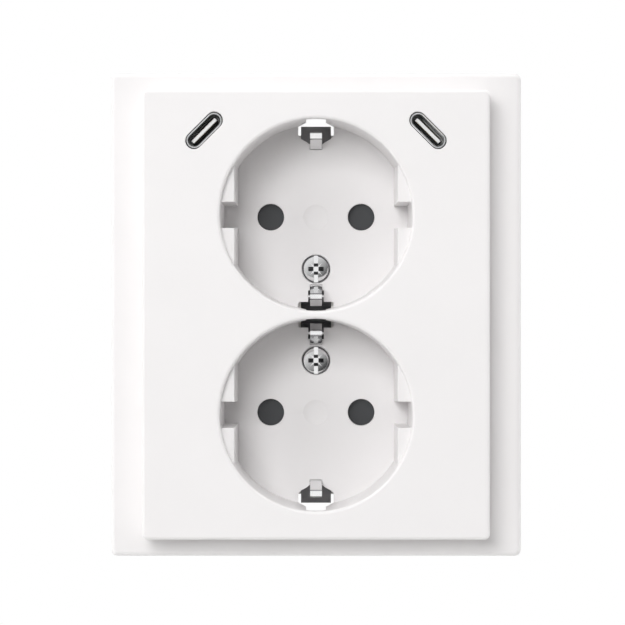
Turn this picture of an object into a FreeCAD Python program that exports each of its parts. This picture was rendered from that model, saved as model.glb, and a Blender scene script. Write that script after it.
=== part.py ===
import FreeCAD, Part
import math
import os
import re

import Sketcher

# Double wall socket with two earthed round wells and two USB ports, for one 60 mm wall box.
# Frame: X to the right, Z up, the front faces -Y, and the origin lies on the wall under the middle.
# A level is a distance in front of the wall, so a negative level lies inside the wall box.

SIZES = [
    ("pin_spacing", 19.0, "between the two pin holes of a well"),
    ("pin_length", 19.0, "a plug's pin, past the floor of the well"),
    ("pin_hole_radius", 2.8, "hole in the floor for a 4.8 mm pin"),
    ("well_land", 1.6, "between the rims of the two wells"),
    ("well_depth", 17.5, "front of the plate to the floor of a well"),
    ("well_mouth_radius", 19.7, "well wall at the front"),
    ("well_taper", 0.4, "how much a well narrows to its floor"),
    ("well_wall", 1.2, "wall round a well"),
    ("well_edge_round", 0.7, "rounding of the well's front edge"),
    ("floor_wall", 1.5, "thickness of a well's floor"),
    ("ledge_depth", 2.95, "how far a well's side ledges stand in"),
    ("ledge_drop", 1.75, "front of the plate to the top of a ledge"),
    ("ledge_gap", 5.4, "notch between the two halves of a ledge"),
    ("ledge_draft", 1.4, "draft of the ledges, in degrees"),
    ("dimple_radius", 2.7, "round dimple in the middle of a floor"),
    ("dimple_depth", 0.25, "depth of that dimple"),
    ("plate_side", 15.85, "centre plate beside a well"),
    ("plate_end", 5.8, "centre plate above and below the wells"),
    ("plate_wall", 1.6, "front and skirt of the centre plate"),
    ("plate_rise", 8.5, "centre plate in front of the outer frame"),
    ("plate_corner_round", 1.05, "corners of the centre plate"),
    ("plate_edge_round", 0.7, "front edge of the centre plate"),
    ("plate_rib", 1.2, "ribs between the skirt and the wells"),
    ("frame_side", 6.95, "outer frame beside the plate"),
    ("frame_end", 4.0, "outer frame above and below the plate"),
    ("frame_wall", 1.6, "walls of the outer frame"),
    ("frame_corner_round", 1.3, "corners of the outer frame"),
    ("frame_edge_round", 0.95, "front edge of the outer frame"),
    ("frame_gap", 0.15, "gap between the frame's window and the plate"),
    ("frame_ledge", 2.0, "ledge under the plate's skirt, inwards"),
    ("frame_ledge_wall", 1.5, "thickness of that ledge"),
    ("frame_rib", 1.2, "ribs in the frame's hollow back"),
    ("screw_margin", 8.8, "plate screw from the rim of its well"),
    ("screw_head_radius", 3.0, "head of a plate screw"),
    ("screw_head_rise", 0.75, "head of a plate screw above the floor"),
    ("screw_head_sink", 0.6, "recess in the floor for that head"),
    ("screw_slot_width", 0.88, "slot across the head"),
    ("screw_slot_depth", 0.8, "depth of the slot and of the cross"),
    ("screw_cross_reach", 1.65, "arms of the cross recess from its middle"),
    ("screw_radius", 1.5, "shank of a plate screw"),
    ("screw_point_room", 0.5, "space in front of a screw's end"),
    ("screw_reach", 8.0, "end of a plate screw behind the wall face"),
    ("free_fit", 0.15, "gap round a screw that passes through"),
    ("close_fit", 0.05, "gap round a post, a shank in its hole or a slide"),
    ("mount_side", 3.3, "mounting plate outside the box screws"),
    ("mount_end", 3.4, "mounting plate outside the rivets"),
    ("mount_wall", 1.2, "steel mounting plate, thickness"),
    ("mount_corner", 9.0, "cut corners of the mounting plate"),
    ("box_screw_margin", 2.0, "box screws outside the rear housing"),
    ("box_slot_width", 3.4, "slot for a box screw"),
    ("box_slot_length", 4.4, "length of that slot, across"),
    ("strap_seat", 1.4, "base under the earth strap"),
    ("strap_wall", 0.8, "earth strap, thickness"),
    ("strap_width", 5.0, "earth strap between its contacts"),
    ("shutter_gap", 0.1, "play in front of and behind a shutter"),
    ("shutter_wall", 1.4, "thickness of a shutter"),
    ("shutter_pad_radius", 3.5, "round end that covers a pin hole"),
    ("shutter_arm", 4.6, "width of a shutter's arm"),
    ("shutter_hub_radius", 4.2, "hub of a shutter"),
    ("shutter_post_radius", 1.5, "post on the base that a shutter turns on"),
    ("spring_wire", 0.36, "wire of a shutter spring"),
    ("spring_radius", 2.45, "middle line of that spring's turns"),
    ("spring_seat_depth", 0.95, "pocket in the shutter for the spring"),
    ("base_margin", 0.8, "base outside a well's rim"),
    ("base_rear_wall", 1.5, "base behind the wall face"),
    ("base_boss_radius", 3.0, "boss on the base for a plate screw"),
    ("housing_margin", 7.5, "rear housing beyond a well's middle; it fits a 60 mm box"),
    ("housing_wall", 1.4, "walls of the rear housing"),
    ("housing_bevel", 1.2, "rear edge of the rear housing"),
    ("housing_screw_margin", 11.4, "housing screws inside the housing's edge, both ways"),
    ("housing_screw_radius", 1.1, "shank of a housing screw"),
    ("housing_screw_head", 2.0, "head of a housing screw"),
    ("housing_boss_radius", 2.9, "boss round a housing screw"),
    ("housing_boss_seat", 3.5, "where base and housing bosses meet, behind the base"),
    ("pin_tip_space", 1.5, "space behind a pin's tip in its contact"),
    ("leaf_wall", 0.7, "sheet of the live and neutral contacts"),
    ("leaf_width", 4.6, "width of a contact's leaves"),
    ("leaf_mouth", 2.9, "half the mouth of a contact"),
    ("leaf_neck", 2.2, "half the neck that grips a pin"),
    ("leaf_root", 2.6, "half the root of a contact"),
    ("contact_strip", 5.0, "strip that joins two contacts"),
    ("board_gap", 0.3, "insulating film between contacts and board"),
    ("board_wall", 1.2, "charger board, thickness"),
    ("board_room", 10.8, "room for the parts on the charger board"),
    ("terminal_margin", 9.0, "outer terminals inside the housing's edge"),
    ("terminal_half", 6.3, "half of a terminal's opening in the board"),
    ("bar_place", 4.4, "terminal bar from the middle of its terminal"),
    ("bar_width", 9.6, "width of a terminal bar"),
    ("bar_length", 10.0, "terminal bar, along the wire"),
    ("clamp_wall", 0.4, "sheet of a clamp spring"),
    ("clamp_width", 9.0, "width of a clamp spring"),
    ("wire_hole_radius", 1.7, "hole for a solid wire of 2.5 square mm"),
    ("wire_hole_place", 3.2, "wire holes above and below the middle"),
    ("wire_hole_offset", 2.0, "wire holes from the middle of their terminal"),
    ("button_offset", 2.9, "release button from the middle of its terminal"),
    ("button_width", 2.8, "release button, across"),
    ("button_height", 5.0, "release button, up"),
    ("button_rise", 1.7, "release button behind the housing"),
    ("button_edge_round", 0.3, "edge of a release button's cap"),
    ("button_flange", 0.6, "flange that keeps a button in"),
    ("button_flange_wall", 1.2, "thickness of that flange"),
    ("port_side", 12.65, "USB port from the plate's side"),
    ("port_end", 8.3, "USB port from the plate's upper end"),
    ("port_turn", 45.0, "USB ports are turned by this, in degrees"),
    ("port_hole_length", 9.34, "USB opening in the plate"),
    ("port_hole_width", 3.48, "USB opening in the plate"),
    ("shell_length", 8.94, "metal shell of a USB port"),
    ("shell_width", 3.26, "metal shell of a USB port"),
    ("shell_wall", 0.3, "sheet of that shell"),
    ("shell_depth", 7.4, "length of that shell"),
    ("shell_sink", 0.3, "shell behind the front of the plate"),
    ("tongue_length", 6.69, "contact tongue of a USB port"),
    ("tongue_wall", 0.7, "thickness of that tongue"),
    ("tongue_sink", 0.9, "tongue behind the mouth of its shell"),
    ("tongue_foot", 1.6, "block that carries the tongue"),
    ("port_board_length", 16.0, "small board behind a USB port"),
    ("port_board_width", 6.0, "small board behind a USB port"),
    ("port_board_wall", 1.0, "small board behind a USB port"),
    ("port_post_place", 6.2, "posts for that board from the port's middle"),
    ("port_post_radius", 1.5, "post for that board"),
    ("port_guide_wall", 1.0, "collar on the plate round a USB port"),
    ("port_guide_depth", 4.0, "length of that collar"),
    ("port_screw_radius", 0.7, "shank of a small screw"),
    ("port_screw_head", 1.3, "head of a small screw"),
    ("port_screw_length", 4.0, "shank of a small screw"),
    ("lead_width", 2.4, "ribbon lead from the charger to a USB port"),
    ("lead_wall", 0.8, "thickness of that lead"),
    ("lead_bend", 4.5, "bends of that lead"),
    ("lead_offset", 0.9, "lead from the middle of its port, across"),
    ("lead_up", 7.6, "where the lead goes through the base"),
    ("lead_lift", 0.4, "lead in front of the mounting plate"),
    ("earth_slot_drop", 2.3, "front of the plate to the top of an earth slot"),
    ("earth_slot_flare", 7.3, "part of that slot that widens towards the floor"),
    ("earth_slot_width", 4.1, "slot in the well wall for an earth contact"),
    ("earth_hole_width", 7.5, "hole in the floor for an earth contact"),
    ("earth_hole_tip", 3.3, "width of that hole at its inner end"),
    ("earth_hole_taper", 2.65, "part of an outer earth hole that narrows"),
    ("earth_hole_step", 1.95, "wide part of an inner earth hole"),
    ("earth_hole_length", 2.4, "part of an earth hole that has its full width"),
    ("finger_width", 2.4, "sprung finger of an earth contact"),
    ("finger_lean", 1.25, "foot of a finger from its flat top's middle"),
    ("finger_slope", 2.1, "sloped outer part of a finger"),
    ("finger_flat", 1.0, "length of that top"),
    ("finger_gap", 1.0, "free end of a finger from the rim of its well"),
    ("finger_rise", 5.5, "flat top above the floor"),
    ("finger_tip_rise", 2.0, "free end above the floor"),
    ("finger_wing", 1.5, "taper of the strap towards its wings"),
    ("wing_width", 6.2, "strap under a finger"),
    ("rivet_margin", 1.6, "rivets outside the rear housing"),
    ("rivet_radius", 1.1, "shank of a rivet"),
    ("rivet_head_radius", 2.0, "head of a rivet"),
    ("rivet_head_wall", 0.7, "height of that head"),
    ("earth_link_reach", 1.6, "foot of the earth bar under the strap"),
    ("earth_link_width", 4.0, "earth bar where it goes through the base"),
    ("housing_screw_seat", 2.0, "housing under the head of a housing screw"),
    ("housing_screw_grip", 3.5, "housing screw in the base"),
    ("housing_screw_head_wall", 1.4, "height of its head"),
    ("leaf_neck_place", 4.0, "mouth of a contact to its neck"),
    ("clamp_root", 5.4, "upright leg of a clamp spring from its terminal"),
    ("clamp_rise", 8.3, "height of that leg"),
    ("clamp_edge", 0.48, "slanted cut at the end of that leaf"),
    ("clamp_tip_rise", 2.2, "tip of a clamp spring above its foot"),
    ("button_groove", 0.8, "screwdriver notch in a release button"),
    ("port_screw_head_wall", 0.8, "height of a small screw's head"),
    ("core_width", 14.0, "transformer, across"),
    ("core_depth", 9.5, "transformer, away from the board"),
    ("core_height", 8.0, "transformer, up"),
    ("core_leg", 2.2, "half the middle leg of the core"),
    ("core_side", 1.47, "outer walls of the transformer core"),
    ("core_up", 15.0, "middle of the transformer above the middle"),
    ("input_capacitor_radius", 4.3, "input capacitor"),
    ("input_capacitor_length", 13.0, "input capacitor"),
    ("input_capacitor_down", 15.0, "input capacitor below the middle"),
    ("output_capacitor_radius", 3.0, "output capacitor"),
    ("output_capacitor_length", 9.0, "output capacitor"),
    ("small_part_across", 11.2, "small parts from the middle, across"),
    ("small_part_up", 12.2, "small parts from the middle, up or down"),
    ("fuse_radius", 1.3, "fuse"),
    ("fuse_length", 6.5, "fuse"),
    ("bridge_width", 5.5, "bridge rectifier"),
    ("bridge_height", 2.4, "bridge rectifier"),
    ("chip_length", 5.0, "converter chip"),
    ("chip_width", 6.0, "converter chip"),
    ("chip_height", 1.6, "converter chip"),
]

# Sizes that follow from the driving sizes
DERIVED = [
    ("well_pitch", "2 * well_mouth_radius + well_land", "between the middles of the two wells"),
    ("well_floor_radius", "well_mouth_radius - well_taper", "well wall at the floor"),
    ("ledge_reach", "well_mouth_radius - ledge_depth", "middle of a well to its side ledges"),
    ("plate_width", "2 * (well_mouth_radius + plate_side)", "centre plate, across"),
    ("plate_height", "well_pitch + 2 * (well_mouth_radius + plate_end)", "centre plate, up"),
    ("frame_width", "plate_width + 2 * frame_side", "outer frame, across"),
    ("frame_height", "plate_height + 2 * frame_end", "outer frame, up"),
    ("housing_radius", "well_pitch / 2 + housing_margin", "rear housing, which fits a 60 mm box"),
    ("rivet_place", "housing_radius + rivet_margin", "rivets from the middle, up and down"),
    ("box_screw_spacing", "2 * (housing_radius + box_screw_margin)", "between the two screws of a wall box"),
    ("mount_width", "box_screw_spacing + 2 * mount_side", "steel mounting plate, across"),
    ("mount_height", "2 * (rivet_place + mount_end)", "steel mounting plate, up"),
    ("terminal_place", "housing_radius - terminal_margin", "outer terminals from the middle"),
    ("housing_screw_place", "housing_radius - housing_screw_margin", "housing screws, across and up"),
    ("port_across", "plate_width / 2 - port_side", "USB port from the middle, across"),
    ("port_up", "plate_height / 2 - port_end", "USB port from the middle, up"),
    ("lead_across", "port_across - lead_offset", "lead from the middle, across"),
    ("base_side", "well_mouth_radius + base_margin", "edge of the base round a well"),
    ("earth_hole_end", "well_mouth_radius + close_fit", "outer end of the hole and of the slot"),
    ("earth_slot_end", "well_mouth_radius + well_wall + free_fit", "outer end of a slot through the wall"),
    ("earth_hole_full", "earth_hole_end - earth_hole_length", "where the hole has its full width"),
    ("earth_hole_start", "earth_hole_full - earth_hole_taper", "inner end of an earth hole from the middle"),
    ("finger_end", "well_mouth_radius - finger_gap", "free end of a finger"),
    ("finger_peak", "finger_end - finger_slope", "middle of its flat top"),
    ("finger_root", "finger_peak - finger_lean", "foot of a finger from the well's middle"),
    ("screw_offset", "well_mouth_radius - screw_margin", "middle of a well to its plate screw"),
]

doc = FreeCAD.newDocument("UsbWallSocket")
sheet = doc.addObject("Spreadsheet::Sheet", "sizes")
for row, (alias, value, meaning) in enumerate(SIZES, start=1):
    sheet.set(f"A{row}", meaning)
    sheet.set(f"B{row}", str(value))
    sheet.setAlias(f"B{row}", alias)
for row, (alias, formula, meaning) in enumerate(DERIVED, start=len(SIZES) + 1):
    sheet.set(f"A{row}", meaning)
    sheet.set(f"B{row}", "=" + formula)
    sheet.setAlias(f"B{row}", alias)
doc.recompute()

ALIASES = {alias for alias, value, meaning in SIZES + DERIVED}

# Levels and places that follow from the driving sizes
strap_back = "(mount_wall + strap_seat)"
strap_front = f"({strap_back} + strap_wall)"
shutter_back = f"({strap_front} + shutter_gap)"
shutter_front = f"({shutter_back} + shutter_wall)"
base_front = f"({shutter_front} + shutter_gap)"
floor_front = f"({base_front} + floor_wall)"
plate_front = f"({floor_front} + well_depth)"
frame_front = f"({plate_front} - plate_rise)"
contact_back = f"({floor_front} - pin_length - pin_tip_space)"
strip_back = f"({contact_back} - leaf_wall)"
board_front = f"({strip_back} - board_gap)"
board_back = f"({board_front} - board_wall)"
room_back = f"({board_back} - board_room)"
housing_back = f"({room_back} - housing_wall)"
boss_seat = "(-base_rear_wall - housing_boss_seat)"
housing_bore = "(housing_radius - housing_wall)"
well_up = "(well_pitch / 2)"
pin_across = "(pin_spacing / 2)"
port_board_front = f"({plate_front} - shell_sink - shell_depth)"
port_board_back = f"({port_board_front} - port_board_wall)"

# The two housing screws lie across from each other
HOUSING_SCREWS = [(-1, 1), (1, -1)]

# The live, neutral and earth terminals: their middle, and the side that their bar is on
TERMINALS = [("-terminal_place", -1), ("terminal_place", 1), ("0", -1)]


def bound(formula):
    """Write a formula so that its aliases point at the sheet."""
    return re.sub(r"[a-z][a-z_]*", lambda word: ("sizes." + word.group()) if word.group() in ALIASES
                  else word.group(), str(formula))


def number(formula):
    """Work out a formula of the sheet's sizes."""
    result = sheet.evalExpression(bound(formula))
    return float(getattr(result, "Value", result))


def new_body(label):
    body = doc.addObject("PartDesign::Body", label)
    body.Label = label
    return body


def new_sketch(body, role="XZ_Plane", level="0", across="0", up="0", turn="0"):
    """A sketch on one of the body's own planes, at a level along its normal."""
    plane = next(part for part in body.Origin.OriginFeatures if part.Role == role)
    sketch = body.newObject("Sketcher::SketchObject", "sketch")
    sketch.AttachmentSupport = [(plane, "")]
    sketch.MapMode = "FlatFace"
    for place, formula in (("x", across), ("y", up), ("z", level)):
        if formula != "0":
            sketch.setExpression("AttachmentOffset.Base." + place, bound(formula))
    if turn != "0":
        angle = number(turn)
        offset = sketch.AttachmentOffset
        offset.Rotation = FreeCAD.Rotation(FreeCAD.Vector(0, 0, 1), angle)
        sketch.AttachmentOffset = offset
        sketch.setExpression("AttachmentOffset.Rotation.Angle", bound(turn))
    return sketch


def fix_point(sketch, curve, end, place):
    """Tie an end of a curve to its place, given as two formulas."""
    for kind, formula in zip(("DistanceX", "DistanceY"), place):
        index = sketch.addConstraint(Sketcher.Constraint(kind, -1, 1, curve, end, number(formula)))
        sketch.setExpression(f"Constraints[{index}]", bound(formula))


def fix_radius(sketch, curve, formula):
    index = sketch.addConstraint(Sketcher.Constraint("Radius", curve, number(formula)))
    sketch.setExpression(f"Constraints[{index}]", bound(formula))


def circle(sketch, across, up, radius):
    middle = FreeCAD.Vector(number(across), number(up), 0)
    curve = sketch.addGeometry(Part.Circle(middle, FreeCAD.Vector(0, 0, 1), number(radius)), False)
    fix_point(sketch, curve, 3, (across, up))
    fix_radius(sketch, curve, radius)


def outline(sketch, corners, arcs=None, closed=True):
    """Straight and round edges through the corners; an arc is a middle and a radius."""
    arcs = arcs or {}
    spots = [FreeCAD.Vector(number(across), number(up), 0) for across, up in corners]
    count = len(corners)
    edges = []
    for index in range(count if closed else count - 1):
        start, end = spots[index], spots[(index + 1) % count]
        if index not in arcs:
            curve = sketch.addGeometry(Part.LineSegment(start, end), False)
            edges.append((curve, 1, 2))
            continue
        across, up, radius = arcs[index]
        middle = FreeCAD.Vector(number(across), number(up), 0)
        first = math.atan2(start.y - middle.y, start.x - middle.x)
        last = math.atan2(end.y - middle.y, end.x - middle.x)
        forwards = (last - first) % (2 * math.pi) < math.pi
        ring = Part.Circle(middle, FreeCAD.Vector(0, 0, 1), number(radius))
        ends = (first, last) if forwards else (last, first)
        curve = sketch.addGeometry(Part.ArcOfCircle(ring, *ends), False)
        edges.append((curve, 1, 2) if forwards else (curve, 2, 1))
        fix_radius(sketch, curve, radius)
    for index, (curve, first, last) in enumerate(edges):
        if closed or index + 1 < len(edges):
            following = edges[(index + 1) % len(edges)]
            sketch.addConstraint(Sketcher.Constraint("Coincident", curve, last, following[0], following[1]))
        fix_point(sketch, curve, first, corners[index])
    if not closed:
        fix_point(sketch, edges[-1][0], edges[-1][2], corners[-1])


def rectangle(sketch, left, right, bottom, top):
    outline(sketch, [(left, bottom), (right, bottom), (right, top), (left, top)])


def middle_rectangle(sketch, width, height, across="0", up="0"):
    rectangle(sketch, f"{across} - ({width}) / 2", f"{across} + ({width}) / 2",
              f"{up} - ({height}) / 2", f"{up} + ({height}) / 2")


def stadium(sketch, length, width):
    """A slot round the sketch's origin, its long axis across, with half-round ends."""
    half = f"(({length}) - ({width})) / 2"
    radius = f"({width}) / 2"
    reach, round_end = number(half), number(radius)
    normal = FreeCAD.Vector(0, 0, 1)
    lines = []
    for side in (1, -1):
        start = FreeCAD.Vector(reach * side, round_end * side, 0)
        end = FreeCAD.Vector(-reach * side, round_end * side, 0)
        lines.append(sketch.addGeometry(Part.LineSegment(start, end), False))
    ends = []
    for side in (1, -1):
        ring = Part.Circle(FreeCAD.Vector(reach * side, 0, 0), normal, round_end)
        first = -math.pi / 2 if side > 0 else math.pi / 2
        curve = sketch.addGeometry(Part.ArcOfCircle(ring, first, first + math.pi), False)
        fix_point(sketch, curve, 3, (half if side > 0 else f"-({half})", "0"))
        fix_radius(sketch, curve, radius)
        ends.append(curve)
    sketch.addConstraint(Sketcher.Constraint("Tangent", ends[0], 2, lines[0], 1))
    sketch.addConstraint(Sketcher.Constraint("Tangent", lines[0], 2, ends[1], 1))
    sketch.addConstraint(Sketcher.Constraint("Tangent", ends[1], 2, lines[1], 1))
    sketch.addConstraint(Sketcher.Constraint("Tangent", lines[1], 2, ends[0], 1))


def pad(body, sketch, length, backwards=False, both_ways=False, draft=None):
    """Add the sketch's outline to the body, forwards along the sketch's normal."""
    feature = body.newObject("PartDesign::Pad", "pad")
    feature.Profile = sketch
    feature.setExpression("Length", bound(length))
    feature.Reversed = backwards
    feature.Midplane = both_ways
    if draft:
        feature.setExpression("TaperAngle", bound(draft))
    doc.recompute()
    return feature


def pocket(body, sketch, length, forwards=False, both_ways=False):
    """Cut the sketch's outline out of the body, against the sketch's normal."""
    before = body.Shape.Volume
    feature = body.newObject("PartDesign::Pocket", "pocket")
    feature.Profile = sketch
    feature.setExpression("Length", bound(length))
    feature.Reversed = forwards
    feature.Midplane = both_ways
    doc.recompute()
    if not body.Shape.Volume < before - 1e-4:
        raise ValueError(f"a pocket of {body.Label} cuts nothing")
    return feature


def edges_where(body, wanted):
    """Names of the body's edges that the test picks."""
    return [f"Edge{index}" for index, edge in enumerate(body.Shape.Edges, start=1) if wanted(edge)]


def fillet(body, radius, wanted):
    names = edges_where(body, wanted)
    if not names:
        raise ValueError(f"no edge to round on {body.Label}")
    solid = body.Tip
    feature = body.newObject("PartDesign::Fillet", "fillet")
    feature.Base = (solid, names)
    feature.setExpression("Radius", bound(radius))
    doc.recompute()
    return feature


def chamfer(body, size, wanted):
    names = edges_where(body, wanted)
    solid = body.Tip
    feature = body.newObject("PartDesign::Chamfer", "chamfer")
    feature.Base = (solid, names)
    feature.setExpression("Size", bound(size))
    doc.recompute()
    return feature


def at_level(edge, level):
    """True for an edge that lies wholly at one level in front of the wall."""
    box = edge.BoundBox
    return abs(box.YMin + level) < 1e-4 and abs(box.YMax + level) < 1e-4


def runs_back(edge):
    """True for a straight edge that runs along Y."""
    box = edge.BoundBox
    return box.XLength < 1e-4 and box.ZLength < 1e-4 and box.YLength > 0.5


def round_edge(edge, radius, level):
    """True for a circle of this radius at this level."""
    curve = edge.Curve
    return isinstance(curve, Part.Circle) and abs(curve.Radius - radius) < 1e-4 and at_level(edge, level)


def make_cover_frame():
    """Outer frame: a flat moulded surround with a hollow back and a ledge that the plate clamps."""
    body = new_body("cover_frame")
    block = new_sketch(body)
    middle_rectangle(block, "frame_width", "frame_height")
    pad(body, block, frame_front)
    fillet(body, "frame_corner_round", runs_back)
    front = number(frame_front)
    fillet(body, "frame_edge_round", lambda edge: at_level(edge, front))
    window = new_sketch(body, level=frame_front)
    middle_rectangle(window, "plate_width + 2 * frame_gap", "plate_height + 2 * frame_gap")
    pocket(body, window, f"{frame_front} - frame_ledge_wall")
    opening = new_sketch(body, level="frame_ledge_wall")
    middle_rectangle(opening, "plate_width + 2 * frame_gap - 2 * frame_ledge",
                     "plate_height + 2 * frame_gap - 2 * frame_ledge")
    pocket(body, opening, "frame_ledge_wall")
    channel = new_sketch(body)
    middle_rectangle(channel, "frame_width - 2 * frame_wall", "frame_height - 2 * frame_wall")
    middle_rectangle(channel, "plate_width + 2 * frame_gap + 2 * frame_rib",
                     "plate_height + 2 * frame_gap + 2 * frame_rib")
    pocket(body, channel, f"{frame_front} - frame_wall", forwards=True)
    ribs = new_sketch(body, level="frame_ledge_wall")
    inner = "(plate_width / 2 + frame_gap + frame_rib / 2)"
    outer = "(frame_width / 2 - frame_wall / 2)"
    for side in (-1, 1):
        for step in (-1, 0, 1):
            up = f"({step} * frame_height / 4)"
            near, far = (inner, outer) if side > 0 else (f"-{outer}", f"-{inner}")
            rectangle(ribs, near, far, f"{up} - frame_rib / 2", f"{up} + frame_rib / 2")
    pad(body, ribs, f"{frame_front} - frame_ledge_wall - frame_wall / 2")
    return body


def make_centre_plate():
    """Centre plate: one moulding with both wells, their ledges, holes and the USB openings."""
    body = new_body("centre_plate")
    front = number(plate_front)
    block = new_sketch(body, level="frame_ledge_wall")
    middle_rectangle(block, "plate_width", "plate_height")
    pad(body, block, f"{plate_front} - frame_ledge_wall")
    fillet(body, "plate_corner_round", runs_back)
    fillet(body, "plate_edge_round", lambda edge: at_level(edge, front))
    hollow = new_sketch(body, level="frame_ledge_wall")
    middle_rectangle(hollow, "plate_width - 2 * plate_wall", "plate_height - 2 * plate_wall")
    pocket(body, hollow, f"{plate_front} - plate_wall - frame_ledge_wall", forwards=True)

    # The walls of the two wells merge where they meet, and ribs tie them to the skirt
    for side in (1, -1):
        well = new_sketch(body, level=base_front)
        circle(well, "0", f"{side} * {well_up}", "well_mouth_radius + well_wall")
        pad(body, well, f"{plate_front} - plate_wall / 2 - {base_front}")
    ribs = new_sketch(body, level=base_front)
    for side in (1, -1):
        for end in (1, -1):
            near = "(well_floor_radius + well_wall / 2)"
            far = "(plate_width / 2 - plate_wall / 2)"
            left, right = (near, far) if side > 0 else (f"-{far}", f"-{near}")
            up = f"({end} * {well_up})"
            rectangle(ribs, left, right, f"{up} - plate_rib / 2", f"{up} + plate_rib / 2")
    pad(body, ribs, f"{plate_front} - plate_wall / 2 - {base_front}")

    # Collars and posts behind the USB openings
    for side in (1, -1):
        turned = dict(across=f"{side} * port_across", up="port_up", turn=f"{-side} * port_turn")
        collar = new_sketch(body, level=f"{plate_front} - plate_wall / 2", **turned)
        stadium(collar, "port_hole_length + 2 * port_guide_wall", "port_hole_width + 2 * port_guide_wall")
        pad(body, collar, "port_guide_depth + plate_wall / 2", backwards=True)
        posts = new_sketch(body, level=port_board_front, **turned)
        for end in (1, -1):
            circle(posts, f"{end} * port_post_place", "0", "port_post_radius")
        pad(body, posts, f"{plate_front} - plate_wall / 2 - {port_board_front}")
        pilots = new_sketch(body, level=port_board_front, **turned)
        for end in (1, -1):
            circle(pilots, f"{end} * port_post_place", "0", "port_screw_radius + close_fit")
        pocket(body, pilots, "port_screw_length", forwards=True)

    # Each well is a shallow cone with a rounded rim
    draft = "((well_mouth_radius - well_floor_radius) / well_depth)"
    for side in (1, -1):
        cone = new_sketch(body, role="YZ_Plane", up=f"{side} * {well_up}")
        outline(cone, [(f"-{plate_front} - 1", "0"), (f"-{plate_front} - 1", f"well_mouth_radius + {draft}"),
                       (f"-{floor_front}", "well_floor_radius"), (f"-{floor_front}", "0")])
        before = body.Shape.Volume
        groove = body.newObject("PartDesign::Groove", "groove")
        groove.Profile = cone
        groove.ReferenceAxis = (cone, ["H_Axis"])
        groove.Angle = 360
        doc.recompute()
        if not body.Shape.Volume < before - 1000:
            raise ValueError("a well isn't cut")
    mouth = number("well_mouth_radius")
    fillet(body, "well_edge_round", lambda edge: round_edge(edge, mouth, front))

    # Four short ledges in each well guide the flats on a plug's sides
    buried = "(well_mouth_radius + well_wall / 2)"
    reach_up = f"sqrt({buried}^2 - ledge_reach^2)"
    reach_out = f"sqrt({buried}^2 - (ledge_gap / 2)^2)"
    for side in (1, -1):
        ledges = new_sketch(body, level=f"{plate_front} - ledge_drop")
        for across in (1, -1):
            for end in (1, -1):
                middle = f"({side} * {well_up})"
                gap_up = f"{middle} + {end} * ledge_gap / 2"
                corners = [(f"{across} * ledge_reach", gap_up),
                           (f"{across} * ledge_reach", f"{middle} + {end} * {reach_up}"),
                           (f"{across} * {reach_out}", gap_up)]
                outline(ledges, corners, {1: ("0", middle, buried)})
        pad(body, ledges, f"well_depth - ledge_drop + floor_wall / 2", backwards=True, draft="ledge_draft")

    # Pin holes, screw seats and the dimple in each floor
    floors = new_sketch(body, level=floor_front)
    seats = new_sketch(body, level=floor_front)
    dimples = new_sketch(body, level=floor_front)
    for side in (1, -1):
        middle = f"({side} * {well_up})"
        for across in (1, -1):
            circle(floors, f"{across} * {pin_across}", middle, "pin_hole_radius")
        screw = f"({middle} - {side} * screw_offset)"
        circle(floors, "0", screw, "screw_radius + free_fit")
        circle(seats, "0", screw, "screw_head_radius + free_fit")
        circle(dimples, "0", middle, "dimple_radius")
    pocket(body, seats, "screw_head_sink")
    pocket(body, floors, "floor_wall")
    pocket(body, dimples, "dimple_depth")

    # Openings for the earth contacts: a hole in the floor, tapered at a well's outer end and stepped at
    # its inner end, and a slot in the wall that flares towards the floor. The outer slots go right through.
    for side in (1, -1):
        middle = f"({side} * {well_up})"
        ends = {side: "earth_slot_end", -side: "earth_hole_end"}
        holes = new_sketch(body, level=floor_front)
        for end, reach in ends.items():
            start, narrow, full, out = (f"({middle} + {end} * ({place}))" for place in (
                "earth_hole_start",
                "earth_hole_start" if end == side else "earth_hole_end - earth_hole_step",
                "earth_hole_full" if end == side else "earth_hole_end - earth_hole_step", reach))
            corners = [("-earth_hole_tip / 2", start), ("-earth_hole_width / 2", full),
                       ("-earth_hole_width / 2", out), ("earth_hole_width / 2", out),
                       ("earth_hole_width / 2", full), ("earth_hole_tip / 2", start)]
            if end != side:
                corners.insert(1, ("-earth_hole_tip / 2", narrow))
                corners.insert(6, ("earth_hole_tip / 2", narrow))
            outline(holes, corners)
        pocket(body, holes, "floor_wall")
        for end, reach in ends.items():
            slot = new_sketch(body, role="XY_Plane", level=f"{middle} + {end} * {reach}")
            top = f"-({plate_front} - earth_slot_drop)"
            bend = f"-({floor_front} + earth_slot_flare)"
            outline(slot, [("-earth_slot_width / 2", top), ("earth_slot_width / 2", top),
                           ("earth_slot_width / 2", bend), ("earth_hole_width / 2", f"-{floor_front}"),
                           ("-earth_hole_width / 2", f"-{floor_front}"), ("-earth_slot_width / 2", bend)])
            pocket(body, slot, f"{reach} - earth_hole_full", forwards=end < 0)

    # USB openings go through the front wall and the collars
    for side in (1, -1):
        turned = dict(across=f"{side} * port_across", up="port_up", turn=f"{-side} * port_turn")
        port = new_sketch(body, level=plate_front, **turned)
        stadium(port, "port_hole_length", "port_hole_width")
        pocket(body, port, "plate_wall + port_guide_depth")
    return body


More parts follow.
